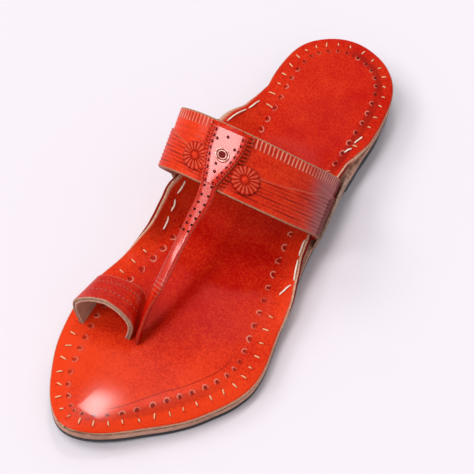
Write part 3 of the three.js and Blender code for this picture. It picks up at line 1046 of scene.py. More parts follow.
def discs(name: str, middles: Array, asides: Array, aheads: Array, profile: Array, sides: int = 10) -> Piece:
    """Small round marks at many places at once.

    Each place carries rings: the profile's radius along two directions of the surface, and its height along
    the third.

    Args:
        name: the piece's name.
        middles: middle of each mark.
        asides, aheads: two directions in the surface at each mark.
        profile: rows of radius and height, from the rim to the middle.
        sides: points in a ring.

    Returns:
        The piece.
    """
    angle = turns(sides)[:, None]
    flat = np.cos(angle) * asides[:, None] + np.sin(angle) * aheads[:, None]
    normals = unit(np.cross(asides, aheads))
    radius, height = profile[:, 0, None, None], profile[:, 1, None, None]
    return lofts(name, middles[:, None, None] + radius * flat[:, None] + height * normals[:, None, None], {})


# Sub-assemblies


@dataclass
class SoleStack:
    """Outsole, heel lift and midsole."""

    last: Last
    end_turn: float = 0.6
    stations: int = 300
    heel_inset: float = 0.6
    bulge: float = 0.35
    bar_pitch: float = 7.0
    bar_slant: float = 0.35
    bar_margin: float = 6.0
    sheet_relief: float = 0.5
    lift_relief: float = 0.6

    def layer(
        self,
        name: str,
        span: Pair,
        inset: float,
        bottom: Callable[[Array], Array],
        top: Callable[[Array], Array],
        relief: float = 0.0,
    ) -> Piece:
        """A layer that follows the outline.

        Each ring runs down the medial wall, back below, up the lateral wall and over the top. The walls bulge
        a little and wave by a few tenths with sines of y, as a hand-cut edge does. Shallow bars run across
        the underside: a sine of y and of the distance from the middle, cut off to a flat top and bottom.

        Args:
            name: the piece's name.
            span: first and last turn.
            inset: millimetres that it stays inside the outline.
            bottom, top: heights of its faces.
            relief: depth of the bars under it.

        Returns:
            The piece.
        """
        y = self.last.station(np.linspace(*span, self.stations))[:, None]
        wave = 0.16 * np.sin(y / 5.3) + 0.1 * np.sin(y / 2.1 + 1.3) - 0.3
        left, right = self.last.edges(y)
        left, right = left + inset - wave * 0.5, right - inset + wave * 0.4
        low, high = bottom(y), top(y)
        wall = np.linspace(0, 1, 9)
        bulge = self.bulge * np.sqrt(np.abs(np.sin(np.pi * wall)))
        under = mix(right, left, np.linspace(0, 1, 90))
        over = mix(left, right, inner(14).T)
        bars = np.clip(np.sin(2 * np.pi * (y + self.bar_slant * np.abs(under)) / self.bar_pitch) * 2, -1, 1)
        inside = smooth(np.minimum(under - left, right - under) / self.bar_margin)
        x = np.concatenate([right + bulge, under, left - bulge, over], axis=1)
        below = low + relief * 0.5 * (1 - bars) * inside
        z = np.concatenate([mix(high, low, wall), below, mix(low, high, wall), high + 0 * over], axis=1)
        rise = (high - low) * np.concatenate([wall[::-1], 0 * under[0], wall, 1 + 0 * over[0]])
        return loft(name, np.stack([x, np.broadcast_to(y, x.shape), z], axis=-1), {"across": rise})

    def build(self) -> None:
        """Builds the three layers."""
        last = self.last
        whole = (self.end_turn, 180 - self.end_turn)
        back = (self.end_turn * 2, float(last.turn_at(last.heel_breast)))
        rubber = Rubber("black_rubber").build()
        sheet = self.layer("outsole_sheet", whole, 0.0, last.underside, last.outsole_top, self.sheet_relief)
        sheet.build(rubber, "black_rubber", ["outsole"])
        lift = self.layer("heel_lift", back, self.heel_inset, np.zeros_like, last.lift_top, self.lift_relief)
        lift.build(rubber, "black_rubber", ["heel"])
        midsole = self.layer("midsole_stack", whole, 0.0, last.midsole_bottom, last.midsole_top)
        midsole.build(Stacked("stacked_leather").build(), "raw_leather", ["midsole"])


@dataclass
class Insole:
    """Red top layer of the sole with its ears.

    Its shine spot is x, y and reach, and each patch of dye, or of painted light, is x, y, reach and how much
    brighter it is.
    """

    last: Last
    end_turn: float = 0.5
    stations: int = 400
    places: int = 120
    rim_roll: float = 0.45
    rim_reach: float = 1.3
    edge_bulge: float = 0.25
    margin_reach: float = 11.0
    shade_lane_toe: float = 0.36
    shade_lane_heel: float = 0.5
    lane_start: float = 190.0
    lane_end: float = 96.0
    glossy_start: float = 205.0
    scribe_start: float = 178.0
    shine: float = 4.2
    shine_spot: tuple[float, ...] = (7.0, 247.5, 8.6)
    patches: Rows = (
        (8.0, 238.0, 26.0, 0.5),
        (-24.0, 206.0, 26.0, 0.25),
        (30.0, 226.0, 18.0, 0.3),
        (-8.0, 168.0, 30.0, -0.35),
        # Under the strap: a slight painted lightening against the strap's shade.
        (-4.0, 110.0, 26.0, 0.05),
        (-28.0, 165.0, 18.0, 0.25),
    )

    def tone(self, points: Array, inset: Array) -> Array:
        """Tone of the dye: brighter along the margin, with bells of more or less of it at a few places.

        The bell under the strap is a slight painted lightening.

        Args:
            points: points of the face.
            inset: distance from the sole's outline.

        Returns:
            Tone from 0, deep, to 1, bright.
        """
        forward = smooth((points[..., 1] - 60) / 60)
        tone = mix(0.24, 0.32, forward) + mix(0.12, 0.36, forward) * hump(inset, self.margin_reach)
        for x, y, reach, more in self.patches:
            tone = tone + more * hump(np.hypot(points[..., 0] - x, points[..., 1] - y), reach)
        return tone

    def border_places(self, points: Array) -> tuple[Array, Array]:
        """Run along the sole's outline of the nearest place on it, and the distance to it.

        Args:
            points: points of the face.

        Returns:
            Run and distance, in millimetres.
        """
        outline, run = self.last.border(900)
        gaps = [size(row[:, None, :2] - outline) for row in points]
        nearest = np.stack([gap.argmin(axis=1) for gap in gaps])
        return run[nearest], np.stack([gap.min(axis=1) for gap in gaps])

    def rings(self) -> tuple[Array, dict[str, Array]]:
        """Rings of the insole's section.

        Each ring runs over the face, rolls over the edge, goes down the cut edge and back below. The face's
        rim is rolled off by the square of how near it is to the edge, and creases are two crossed sines.

        Returns:
            The rings, and values for the finish.
        """
        last = self.last
        y = last.station(np.linspace(self.end_turn, 180 - self.end_turn, self.stations))[:, None]
        across = np.linspace(-1, 1, self.places)[None, :]
        top = last.insole_top(y, across)
        x, ahead = top[..., 0], top[..., 1]
        normal = last.insole_normal(y, across)
        near_edge = np.minimum(size(top - top[:, :1]), size(top - top[:, -1:]))
        rolled = rim_drop(near_edge, self.rim_roll, self.rim_reach)
        creases = 0.12 * np.sin(x / 6.1 + ahead / 8.3) + 0.1 * np.sin(ahead / 5.2 - x / 9)
        run, inset = self.border_places(top)
        lift = last.toe_dome(y, inset) + creases * hump(ahead - 120, 60) - rolled
        face = top + normal * lift[..., None]
        floor = np.broadcast_to(last.insole_bottom(y), x.shape)
        flat = np.abs(across)[..., None] <= last.ear_bend
        lower = np.where(flat, top * (1, 1, 0), top - normal * last.insole)
        lower[..., 2] = np.maximum(lower[..., 2], floor)
        wall = inner(8)
        bulge = self.edge_bulge * np.sin(np.pi * wall)
        out = unit(np.gradient(top, axis=1))
        medial = mix(face[:, None, -1], lower[:, None, -1], wall) + out[:, None, -1] * bulge
        lateral = mix(lower[:, None, 0], face[:, None, 0], wall) - out[:, None, 0] * bulge
        below = lower[:, ::-6]
        rings = np.concatenate([face, medial, below, lateral], axis=1)
        pairs = self.dye(face, top, inset, run, near_edge, wall, below.shape[1])
        return rings, ring_values(face, rings, pairs)

    def dye(
        self, face: Array, top: Array, inset: Array, run: Array, near_edge: Array, wall: Array, below: int
    ) -> dict[str, tuple]:
        """What the finish reads, on the face and on the rest of the ring.

        The ears' cut edges are dyed, but for the part next to the face, and the dyed part gets painted shade.
        Lanes of painted shade follow the border's lateral side at the toe and at the heel.

        Args:
            face, top: points of the finished and of the plain face.
            inset, run: distance from the sole's outline, and the run along it.
            near_edge: distance from the insole's own edge.
            wall: shares of the way down its cut edge.
            below: number of places below.

        Returns:
            A pair for each value.
        """
        last = self.last
        y, x = top[:, :1, 1], top[..., 0]
        rows = inset * last.border_stretch(y)
        ear_height = top[..., 2] - last.insole_bottom(y) - last.insole
        raised = smooth((ear_height - 1.5) / 2)
        dyed = smooth((wall[:, 0] - 0.16) / 0.12)
        covered = np.concatenate(
            [raised[:, -1:] * dyed, np.zeros((len(top), below)), raised[:, :1] * dyed[::-1]], axis=1
        )
        toe_shade_lane = self.shade_lane_toe * smooth((y - self.lane_start) / 30) * smooth((20 - x) / 14)
        heel_shade_lane = self.shade_lane_heel * smooth((self.lane_end - y) / 20) * smooth((12 - x) / 14)
        border = hump(rows - EYE_INSET, 3.5) * smooth((y - self.glossy_start) / 25)
        shine_x, shine_y, reach = self.shine_spot
        shine = self.shine * hump(np.hypot(x - shine_x, y - shine_y), reach)
        return {
            "along": (run, 0.0),
            "across": (rows, FAR),
            "tone": (self.tone(face, inset), 0.4),
            "raw": (smooth((0.6 - near_edge) / 0.35) * np.maximum(raised, 0.8), 1 - covered),
            # Painted shade on the dyed part of the ears' cut edges; the face is also darker in a thin line
            # along its edge.
            "groove": (0.5 * smooth((1.5 - near_edge) / 1.2), 0.8 * covered),
            "scribe": (smooth((y - self.scribe_start) / 20) * smooth((12 - x) / 12), 0.0),
            # Painted shade: lanes along the row of eyes.
            "lane": (np.maximum(toe_shade_lane, heel_shade_lane), 0.0),
            "bare": (smooth((ear_height - 2.2) / 1.5), 1.0),
            "gloss": (0.12 + 0.9 * border + shine, 0.0),
        }

    def build(self) -> None:
        """Builds the insole."""
        leather = Leather("insole_leather", Marks.SOLE, roughness=0.4, coat=0.22, raw=(0.8, 0.5, 0.33))
        loft("insole_top", *self.rings()).build(leather.build(), "red_leather", ["insole"])


@dataclass
class Strap:
    """Instep strap of two layers, with ribs, a ladder of cuts and bare edges.

    The arch gives both edges' stops as shares, the feet both edges' places along the sole, and the seam the
    place of the upper layer's rear edge over the band's width.
    """

    last: Last
    wall: float = 2.2
    overlay: float = 0.9
    seat: float = 3.0
    inset: float = 2.3
    rib_pitch: float = 2.25
    rib_depth: float = 0.3
    rim_roll: float = 0.5
    rim_reach: float = 1.1
    ladder_width: float = 7.0
    ladder_span: Pair = (0.13, 0.86)
    # Arcs up to which the slit's painted shade reaches, behind and in front of the seam.
    shaded_slit: Pair = (0.15, 0.183)
    crossing: float = 0.56
    arch: Table = Table(
        "order rear_across rear_along rear_up front_across front_along front_up",
        [
            (0, -0.32, 0.326, 0.481, -0.388, 0.46, 0.476),
            (1, -0.194, 0.378, 0.836, -0.262, 0.504, 0.776),
            (2, 0.095, 0.415, 1.06, 0.003, 0.533, 0.939),
            (3, 0.4, 0.417, 1.0, 0.31, 0.535, 0.895),
            (4, 0.534, 0.386, 0.7, 0.457, 0.513, 0.647),
        ],
    )
    rear_feet: Pair = (0.3, 0.308)
    front_feet: Pair = (0.43, 0.445)
    seam: Table = Table(
        "arc at",
        [
            (0, 0.24), (0.11, 0.3), (0.3, 0.44), (0.46, 0.58), (0.6, 0.62), (0.7, 0.5), (0.78, 0.38),
            (0.9, 0.3), (1, 0.26),
        ],
    )

    def __post_init__(self) -> None:
        """Works out the band from its edges."""
        self.band = Band(self.edge("rear_", self.rear_feet), self.edge("front_", self.front_feet))

    def edge(self, start: str, feet: Pair) -> Array:
        """Points of one edge, from the lateral foot over the arch to the medial foot.

        Args:
            start: what its columns in the arch's table begin with.
            feet: shares of the sole's length at which it stands.

        Returns:
            The points.
        """
        last = self.last
        y = last.length * np.array(feet)
        x = last.edges(y[0])[0] + self.inset, last.edges(y[1])[1] - self.inset
        lateral, medial = np.column_stack([x, y, last.midsole_top(y) - self.seat])
        return np.vstack([lateral, last.stops(self.arch, start), medial])

    def rings(self) -> tuple[Array, dict[str, Array]]:
        """Rings of the strap's section.

        Each ring runs over the face from the rear edge to the front edge, round the bare front edge, back
        inside and up the bare rear edge. The face steps up at the seam, and ribs are a rounded sine of the
        distance from the front edge, drawn partly together so that they bend towards the seam.

        Returns:
            The rings, and values for the finish.
        """
        arc = np.linspace(0.015, 0.985, 380)[:, None]
        at = np.linspace(0, 1, 112)[None, :]
        way = self.band.forward(arc)
        width = size(way)
        seam = self.seam.read("at", arc)
        over = smooth((at - seam) * width / 0.5 + 0.5)
        from_rear, from_front = at * width, (1 - at) * width
        drawn = np.minimum(from_front, (1 - seam) * width) * (1 - seam[0]) / (1 - seam)
        wave = np.sin(2 * np.pi * mix(from_front, drawn, 0.35) / self.rib_pitch)
        behind = 0.6 * smooth((from_rear - self.ladder_width) / 1.2)
        ribbed = smooth((from_front - 0.8) / 1.2) * np.where(at > seam, 1, behind)
        ribs = self.rib_depth * ribbed * (np.abs(wave) ** 0.7 * np.sign(wave) * 0.5 - 0.5)
        rolled = rim_drop(np.minimum(from_rear, from_front), self.rim_roll, self.rim_reach)
        sag = 0.5 * np.sin(arc * 23) * hump(at - 0.5, 0.5) * hump(arc - 0.12, 0.1)
        face = self.band.point(arc, at, self.overlay * over + ribs - rolled + sag)
        back = self.band.point(arc, at[:, ::-4], -self.wall)
        wall = inner(11)
        ply = 0.3 * np.sqrt(np.abs(np.sin(np.pi * (2 * wall + 0.02))))
        rings = closed_rings(face, back, wall, unit(way) * ply)
        dyed_wall = smooth((0.22 - wall[:, 0]) / 0.12)
        seam_line = hump((at - seam) * width + 0.1, 0.32) * smooth((0.4 - np.abs(arc - self.crossing)) / 0.1)
        # Painted shade: a dark slit where the strap's lateral end folds in.
        shaded_slit = 0.9 * smooth((mix(*self.shaded_slit, smooth((at - seam) / 0.05)) - arc) / 0.008)
        rim = np.maximum(smooth((0.9 - from_rear) / 0.35), smooth((0.45 - from_front) / 0.3))
        uneven = 0.62 + 0.38 * np.sin(17 * arc + 41 * at) * np.sin(29 * arc - 13 * at)
        # Painted shade in the troughs between the ribs.
        rib_shade = np.clip(-ribs / self.rib_depth, 0, 1) ** 2 * 0.85 * uneven
        tone = 0.5 + 0.3 * hump(arc - 0.72, 0.16) - 0.45 * hump(arc - 0.05, 0.1) - 0.3 * hump(arc - 1, 0.1)
        raw_rest = np.concatenate([dyed_wall, np.ones(back.shape[1]), dyed_wall[::-1]])
        first, final = self.ladder_span
        pairs = {
            "along": (self.band.run(arc, 0.1), 0.0),
            "across": (from_rear, FAR),
            "tone": (tone, 0.3),
            "raw": (np.maximum(rim, 0.45 * seam_line), raw_rest),
            "groove": (rib_shade * (1 - seam_line) + shaded_slit, 0.5),
            "ladder": (smooth((arc - first) / 0.08) * smooth((final - arc) / 0.08), 0.0),
            "gloss": (1 - shaded_slit, 0.2),
            # Painted reflection: a grey sheen over the strap's lateral end.
            "painted_sheen": (smooth((0.33 - arc - 0.05 * at) / 0.09) * 0.85, 0.0),
        }
        return rings, ring_values(face, rings, pairs)

    def build(self) -> None:
        """Builds the strap."""
        leather = Leather("strap_leather", Marks.STRAP, roughness=0.4, coat=0.16, grain=0.8)
        loft("strap_band", *self.rings()).build(leather.build(), "red_leather", ["upper"])


@dataclass
class Leaf:
    """Leaf ornament: a pinked backing, a glossy leaf with punched holes, and its tab over the rear edge.

    Inner holes are a place over the band's width and millimetres from the leaf's middle line. Profiles are
    rows of radius and height.
    """

    strap: Strap
    width: float = 17.4
    margin: float = 3.0
    tooth_pitch: float = 2.0
    tooth_depth: float = 2.3
    rim_roll: float = 0.45
    rim_reach: float = 0.9
    stiffness: float = 0.55
    hole_count: int = 9
    hole_inset: float = 1.9
    bead_count: int = 17
    bead_inset: float = 0.8
    inner_holes: Rows = (
        (0.22, 0.4), (0.3, 5.0), (0.36, -4.6), (0.66, 0.8), (0.78, -0.2),
    )
    punched: Rows = ((0.85, -0.1), (0.82, 0.06), (0.62, 0.05), (0.1, 0.0))
    raised: Rows = ((0.55, -0.3), (0.52, 0.15), (0.36, 0.36), (0.05, 0.42))
    tab_margin: float = -1.6
    tab_end: float = 0.16
    backing: float = 1.1
    thickness: float = 1.3
    rows: Table = Table(
        "at arc width",
        [
            (0.045, 0.55, 0.94), (0.14, 0.551, 1), (0.34, 0.553, 1), (0.52, 0.557, 0.9), (0.7, 0.561, 0.72),
            (0.86, 0.565, 0.55), (0.97, 0.568, 0.46),
        ],
    )

    def height(self) -> float:
        """Height of the leaf's face over the band."""
        return self.strap.overlay + self.backing + self.thickness

    def half_width(self, at: Array) -> Array:
        """Half of the leaf's width at places over the band's width."""
        return self.width / 2 * self.rows.read("width", at)

    def plate(
        self,
        name: str,
        margin: float,
        tooth: float,
        high: float,
        span: Pair,
        flatten: float = 0.0,
    ) -> Piece:
        """A plate along the leaf's rows, sunk into the strap, with a rounded rim and teeth along its sides.

        Args:
            name: the piece's name.
            margin: millimetres beyond the leaf's width.
            tooth: depth of the teeth.
            high: height of its face over the band.
            span: first and last place over the band's width.
            flatten: millimetres that its sides rise against the band's curve.

        Returns:
            The piece.
        """
        at = np.linspace(*span, 260)[:, None]
        arc = self.rows.read("arc", at)
        band = self.strap.band
        along = at * size(band.forward(np.array(0.55)))
        teeth = tooth * smooth(0.5 - 0.9 * np.cos(2 * np.pi * along / self.tooth_pitch))
        half = self.half_width(at) + margin - teeth
        side = np.linspace(-1, 1, 41)[None, :]
        from_rim = half * (1 - np.abs(side))
        rolled = rim_drop(from_rim, self.rim_roll, self.rim_reach)
        face = band.near(arc, at, side * half, 0.0, high + flatten * side**2 - rolled)
        under = band.near(arc, at, side[:, ::-5] * half, 0.0, -self.strap.wall / 2)
        rings = closed_rings(face, under, inner(7))
        pairs = {
            "along": (along, 0.0),
            "across": (from_rim, FAR),
            "tone": (0.42, 0.3),
            "raw": (0.3 * smooth((0.5 - from_rim) / 0.3), 0.35),
            "groove": (0.6 * hump(from_rim - 1.0, 0.28), 0.2),
            "gloss": (0.2 + 0.8 * smooth((from_rim - 2.5) / 0.6), 0.1),
        }
        return loft(name, rings, ring_values(face, rings, pairs))

    def dots(self, name: str, places: Array, profile: Rows) -> Piece:
        """Round marks on the leaf's face.

        Args:
            name: the piece's name.
            places: rows of places over the band's width and millimetres from the leaf's middle line.
            profile: rows of radius and height.

        Returns:
            The piece.
        """
        at, aside = places.T
        rise = self.stiffness * (aside / self.half_width(at)) ** 2
        patch = self.strap.band.patch(self.rows.read("arc", at), at, aside, self.height() + rise, 0.5)
        return discs(name, *patch, np.array(profile))

    def rim_row(self, count: int, inset: float) -> Array:
        """Places for dots in a row along each side of the leaf.

        Args:
            count: places on each side.
            inset: millimetres inside its rim.

        Returns:
            Rows of places over the band's width and millimetres from the middle line.
        """
        at = np.linspace(self.tab_end + 0.02, 0.95, count)
        aside = self.half_width(at) - inset
        return np.stack([np.tile(at, 2), np.concatenate([aside, -aside])], axis=-1)

    def build(self) -> None:
        """Builds the backing, the tab, the leaf and its marks: punched holes, and beads outside them.

        The holes are discs of painted shade.
        """
        top = self.strap.overlay + self.backing
        dull = Leather("backing_leather", roughness=0.5, coat=0.05).build()
        glossy = Leather("leaf_leather", roughness=0.3, coat=1.0, polish=0.19, depth=0.05).build()
        first, final = self.rows.column("at")[[0, -1]]
        holes = np.vstack([self.rim_row(self.hole_count, self.hole_inset), self.inner_holes])
        beads = self.rim_row(self.bead_count, self.bead_inset)
        shade_finish = HoleShade("leaf_hole_shade", (0.06, 0.003, 0.004)).build()
        whole, tab, front = (first, final), (first, self.tab_end), (self.tab_end - 0.04, final)
        pieces = [
            (self.plate("leaf_backing", self.margin, self.tooth_depth, top, whole), dull),
            (self.plate("leaf_tab", self.tab_margin, 0.0, top + self.thickness * 0.6, tab), dull),
            (self.plate("leaf_top", 0.0, 0.0, self.height(), front, self.stiffness), glossy),
            (self.dots("leaf_holes", holes, self.punched), shade_finish),
            (self.dots("leaf_beads", beads, self.raised), glossy),
        ]
        for piece, finish in pieces:
            piece.build(finish, "red_leather")


@dataclass
class Thong:
    """Strip from the leaf's neck down to the sole beside the toe loop.

    Its root is a place on the strap's band, and its foot a place on the sole. Each row and both ends give
    its width as a share and its twist in degrees.
    """

    leaf: Leaf
    width: float = 6.0
    thickness: float = 2.6
    wide_power: float = 0.55
    deep_power: float = 0.75
    rows: Table = Table(
        "order across along up width twist",
        [
            (1, 0.121, 0.56, 0.915, 1.33, 2), (2, 0.12, 0.598, 0.845, 1.08, 5),
            (3, 0.116, 0.632, 0.782, 0.92, 9), (4, 0.112, 0.663, 0.714, 0.92, 11),
            (5, 0.109, 0.694, 0.627, 0.94, 14), (6, 0.11, 0.722, 0.542, 0.88, 30),
            (7, 0.112, 0.748, 0.45, 0.9, 56), (8, 0.104, 0.769, 0.36, 0.98, 68),
            (9, 0.097, 0.784, 0.275, 1, 74),
        ],
    )
    root: Pair = (0.566, 0.8)
    root_turn: Pair = (1.4, 0.0)
    foot: Pair = (0.093, 0.793)
    foot_turn: Pair = (1.0, 76.0)
    hole_rows: int = 7
    hole_span: Pair = (0.05, 0.26)
    hole_aside: float = 0.42
    rungs_at: float = 0.565
    hole_profile: Rows = ((0.68, -0.1), (0.65, 0.03), (0.4, 0.02), (0.1, -0.01))

    def frame(self, share: Array) -> tuple[Array, Array, Array, Array]:
        """Middle line, side direction, face direction and half width at shares of the thong.

        The side is +X less its part along the line, and is then turned about the line by the twist.

        Args:
            share: places from the root to the foot.

        Returns:
            Middles, sides, faces and half widths.
        """
        strap, last = self.leaf.strap, self.leaf.strap.last
        start = strap.band.point(*self.root, self.leaf.height() - self.thickness / 2)
        ground = last.midsole_top(self.foot[1] * last.length) - strap.seat
        end = last.spot(*np.array(self.foot), ground)
        curve = Curve(np.vstack([start, last.stops(self.rows), end]))
        middle = curve.at(share)
        step = 1e-3
        ahead = unit(curve.at(share + step) - curve.at(share - step))
        side = unit(np.array((1.0, 0.0, 0.0)) - ahead * ahead[..., :1])
        turned_rows = np.vstack([self.root_turn, self.rows.rows[:, -2:], self.foot_turn])
        places = np.linspace(0, 1, len(turned_rows))
        table = Table("place width twist", np.column_stack([places, turned_rows]))
        twist = np.radians(table.read("twist", share))[..., None]
        turned = side * np.cos(twist) + np.cross(ahead, side) * np.sin(twist)
        return middle, turned, unit(np.cross(turned, ahead)), self.width / 2 * table.read("width", share)

    def strip(self) -> Piece:
        """The strip: a flattened ring, its sine and cosine raised to small powers, along the middle line.

        Returns:
            The piece.
        """
        share = np.linspace(0, 1, 220)
        middle, side, face, half = self.frame(share)
        angle = turns(40)
        wide = np.sign(np.cos(angle)) * np.abs(np.cos(angle)) ** self.wide_power
        deep = np.sign(np.sin(angle)) * np.abs(np.sin(angle)) ** self.deep_power
        aside = side[:, None] * (wide * half[:, None])[..., None]
        rings = middle[:, None] + aside + face[:, None] * (deep * self.thickness / 2)[:, None]
        share = share[:, None]
        values = {
            "along": run_along(middle)[:, None],
            "across": wide,
            # Painted shade: the strip darkens towards its foot.
            "tone": 0.42 - 0.25 * smooth((share - 0.55) / 0.2),
            "raw": 0.15 * (np.abs(wide) > 0.95),
            "groove": 0.25 * (np.abs(deep) < 0.4),
            "rungs": hump(share - self.rungs_at, 0.045),
            "gloss": mix(0.4, 1.0, smooth((share - 0.24) / 0.08)) * smooth((0.6 - share) / 0.06),
        }
        return loft("thong_strip", rings, values)

    def holes(self) -> Piece:
        """Two rows of punched holes on the upper half of the strip, as discs of painted shade.

        Returns:
            The piece.
        """
        middle, side, face, half = self.frame(np.repeat(np.linspace(*self.hole_span, self.hole_rows), 2))
        aside = self.hole_aside * np.tile([-1, 1], self.hole_rows) * half
        places = middle + side * aside[:, None] + face * (self.thickness / 2 + 0.02)
        return discs("thong_holes", places, side, unit(np.cross(face, side)), np.array(self.hole_profile))

    def build(self) -> None:
        """Builds the strip and its holes."""
        leather = Leather("thong_leather", Marks.THONG, roughness=0.3, coat=1.0, polish=0.15, depth=0.05)
        self.strip().build(leather.build(), "red_leather")
        self.holes().build(HoleShade("thong_hole_shade").build(), "red_leather")


@dataclass
class ToeLoop:
    """Short band over the big toe, with a suede inside and a bare double edge.

    The arch gives both edges' stops as shares, and the feet both ends of each edge, across and along.
    """

    last: Last
    wall: float = 2.6
    seat: float = 3.0
    rim_roll: float = 0.3
    rim_reach: float = 0.8
    edge_bulge: float = 0.22
    arch: Table = Table(
        "order rear_across rear_along rear_up front_across front_along front_up",
        [
            (0, 0.178, 0.722, 0.4, 0.128, 0.791, 0.43),
            (1, 0.286, 0.724, 0.455, 0.29, 0.79, 0.57),
            (2, 0.42, 0.739, 0.41, 0.44, 0.81, 0.445),
        ],
    )
    rear_feet: tuple[float, ...] = (0.15, 0.732, 0.404, 0.747)
    front_feet: tuple[float, ...] = (0.139, 0.801, 0.38, 0.817)

    def edge(self, start: str, feet: tuple[float, ...]) -> Array:
        """Points of one edge, from the lateral foot over the arch to the medial foot.

        Args:
            start: what its columns in the arch's table begin with.
            feet: across and along of both its feet.

        Returns:
            The points.
        """
        across, along = np.array(feet).reshape(2, 2).T
        last = self.last
        lateral, medial = last.spot(across, along, last.midsole_top(along * last.length) - self.seat)
        return np.vstack([lateral, last.stops(self.arch, start), medial])

    def build(self) -> None:
        """Builds the outer leather and the suede lining, each half of the wall."""
        band = Band(self.edge("rear_", self.rear_feet), self.edge("front_", self.front_feet))
        outer = Leather("loop_leather", Marks.LOOP, roughness=0.4, coat=0.32, raw=(0.5, 0.29, 0.2)).build()
        lining = Suede("loop_suede").build()
        middle = -self.wall / 2
        self.half(band, "toe_loop_face", 0.0, middle + 0.05).build(outer, "red_leather", ["toe_loop"])
        self.half(band, "toe_loop_lining", middle - 0.05, -self.wall).build(lining, "red_leather")

    def half(self, band: Band, name: str, high: float, low: float) -> Piece:
        """One layer of the band, with rolled rims and a slightly ragged bare edge.

        Args:
            band: the band.
            name: the piece's name.
            high, low: heights of its faces.

        Returns:
            The piece.
        """
        arc = np.linspace(0.01, 0.99, 190)[:, None]
        at = np.linspace(0, 1, 60)[None, :]
        way = band.forward(arc)
        width = size(way)
        edge = np.minimum(at, 1 - at) * width
        rolled = rim_drop(edge, self.rim_roll, self.rim_reach)
        ragged = at + (0.12 * np.sin(arc * 61) + 0.08 * np.sin(arc * 143 + 1)) / width * (at - 0.5)
        face = band.point(arc, ragged, high - rolled)
        back = band.point(arc, ragged[:, ::-4], low)
        wall = inner(7)
        rings = closed_rings(face, back, wall, unit(way) * self.edge_bulge * np.sqrt(np.sin(np.pi * wall)))
        pairs = {
            "along": (band.run(arc, 0.5), 0.0),
            "across": (at * width, FAR),
            "tone": (0.3, 0.3),
            "raw": (smooth((0.5 - edge) / 0.3), 1.0),
        }
        return loft(name, rings, ring_values(face, rings, pairs))


@dataclass
class OuterEars:
    """Bare leather flaps outside the strap's feet, whose tops are shares of the way round the arch."""

    strap: Strap
    thickness: float = 1.7
    reach: float = 0.1
    fall: float = 0.45
    bottom: float = 0.012
    lateral_top: float = 0.1
    medial_top: float = 0.12

    def flap(self, side: str, top: float) -> Piece:
        """One flap: it follows the strap's outer face, and its free edge falls off towards both ends.

        Args:
            side: lateral or medial.
            top: where its free edge is in the middle.

        Returns:
            The piece.
        """
        share = np.linspace(0, 1, 130)[:, None]
        at = mix(-self.reach, 1 + self.reach, share)
        top = top * (1 - self.fall * np.abs(2 * share - 1) ** 3) + 0.0025 * np.sin(share * 31)
        part = np.linspace(0, 1, 26)[None, :]
        height = mix(self.bottom, top, part)
        arc = height if side == "lateral" else 1 - height
        base = self.strap.overlay + self.strap.last.gap
        thinned = self.thickness - 0.25 * np.clip(part - 0.85, 0, 1) / 0.15
        outer = self.strap.band.point(arc, at, base + thinned)
        lining = self.strap.band.point(arc[:, ::-3], at, base)
        cut = mix(outer[:, None, -1], lining[:, None, 0], inner(6))
        rings = np.concatenate([outer, cut, lining], axis=1)
        pairs = {"along": (at * 36, 0.0), "across": (part * 8, 8.0)}
        return loft(f"ear_{side}_flap", rings, ring_values(outer, rings, pairs))

    def build(self) -> None:
        """Builds both flaps."""
        bare = Stacked("ear_leather", light=(0.72, 0.5, 0.38), dark=(0.36, 0.2, 0.15), layers=30.0).build()
        for side, top in (("lateral", self.lateral_top), ("medial", self.medial_top)):
            self.flap(side, top).build(bare, "raw_leather", [f"ear_{side}"])


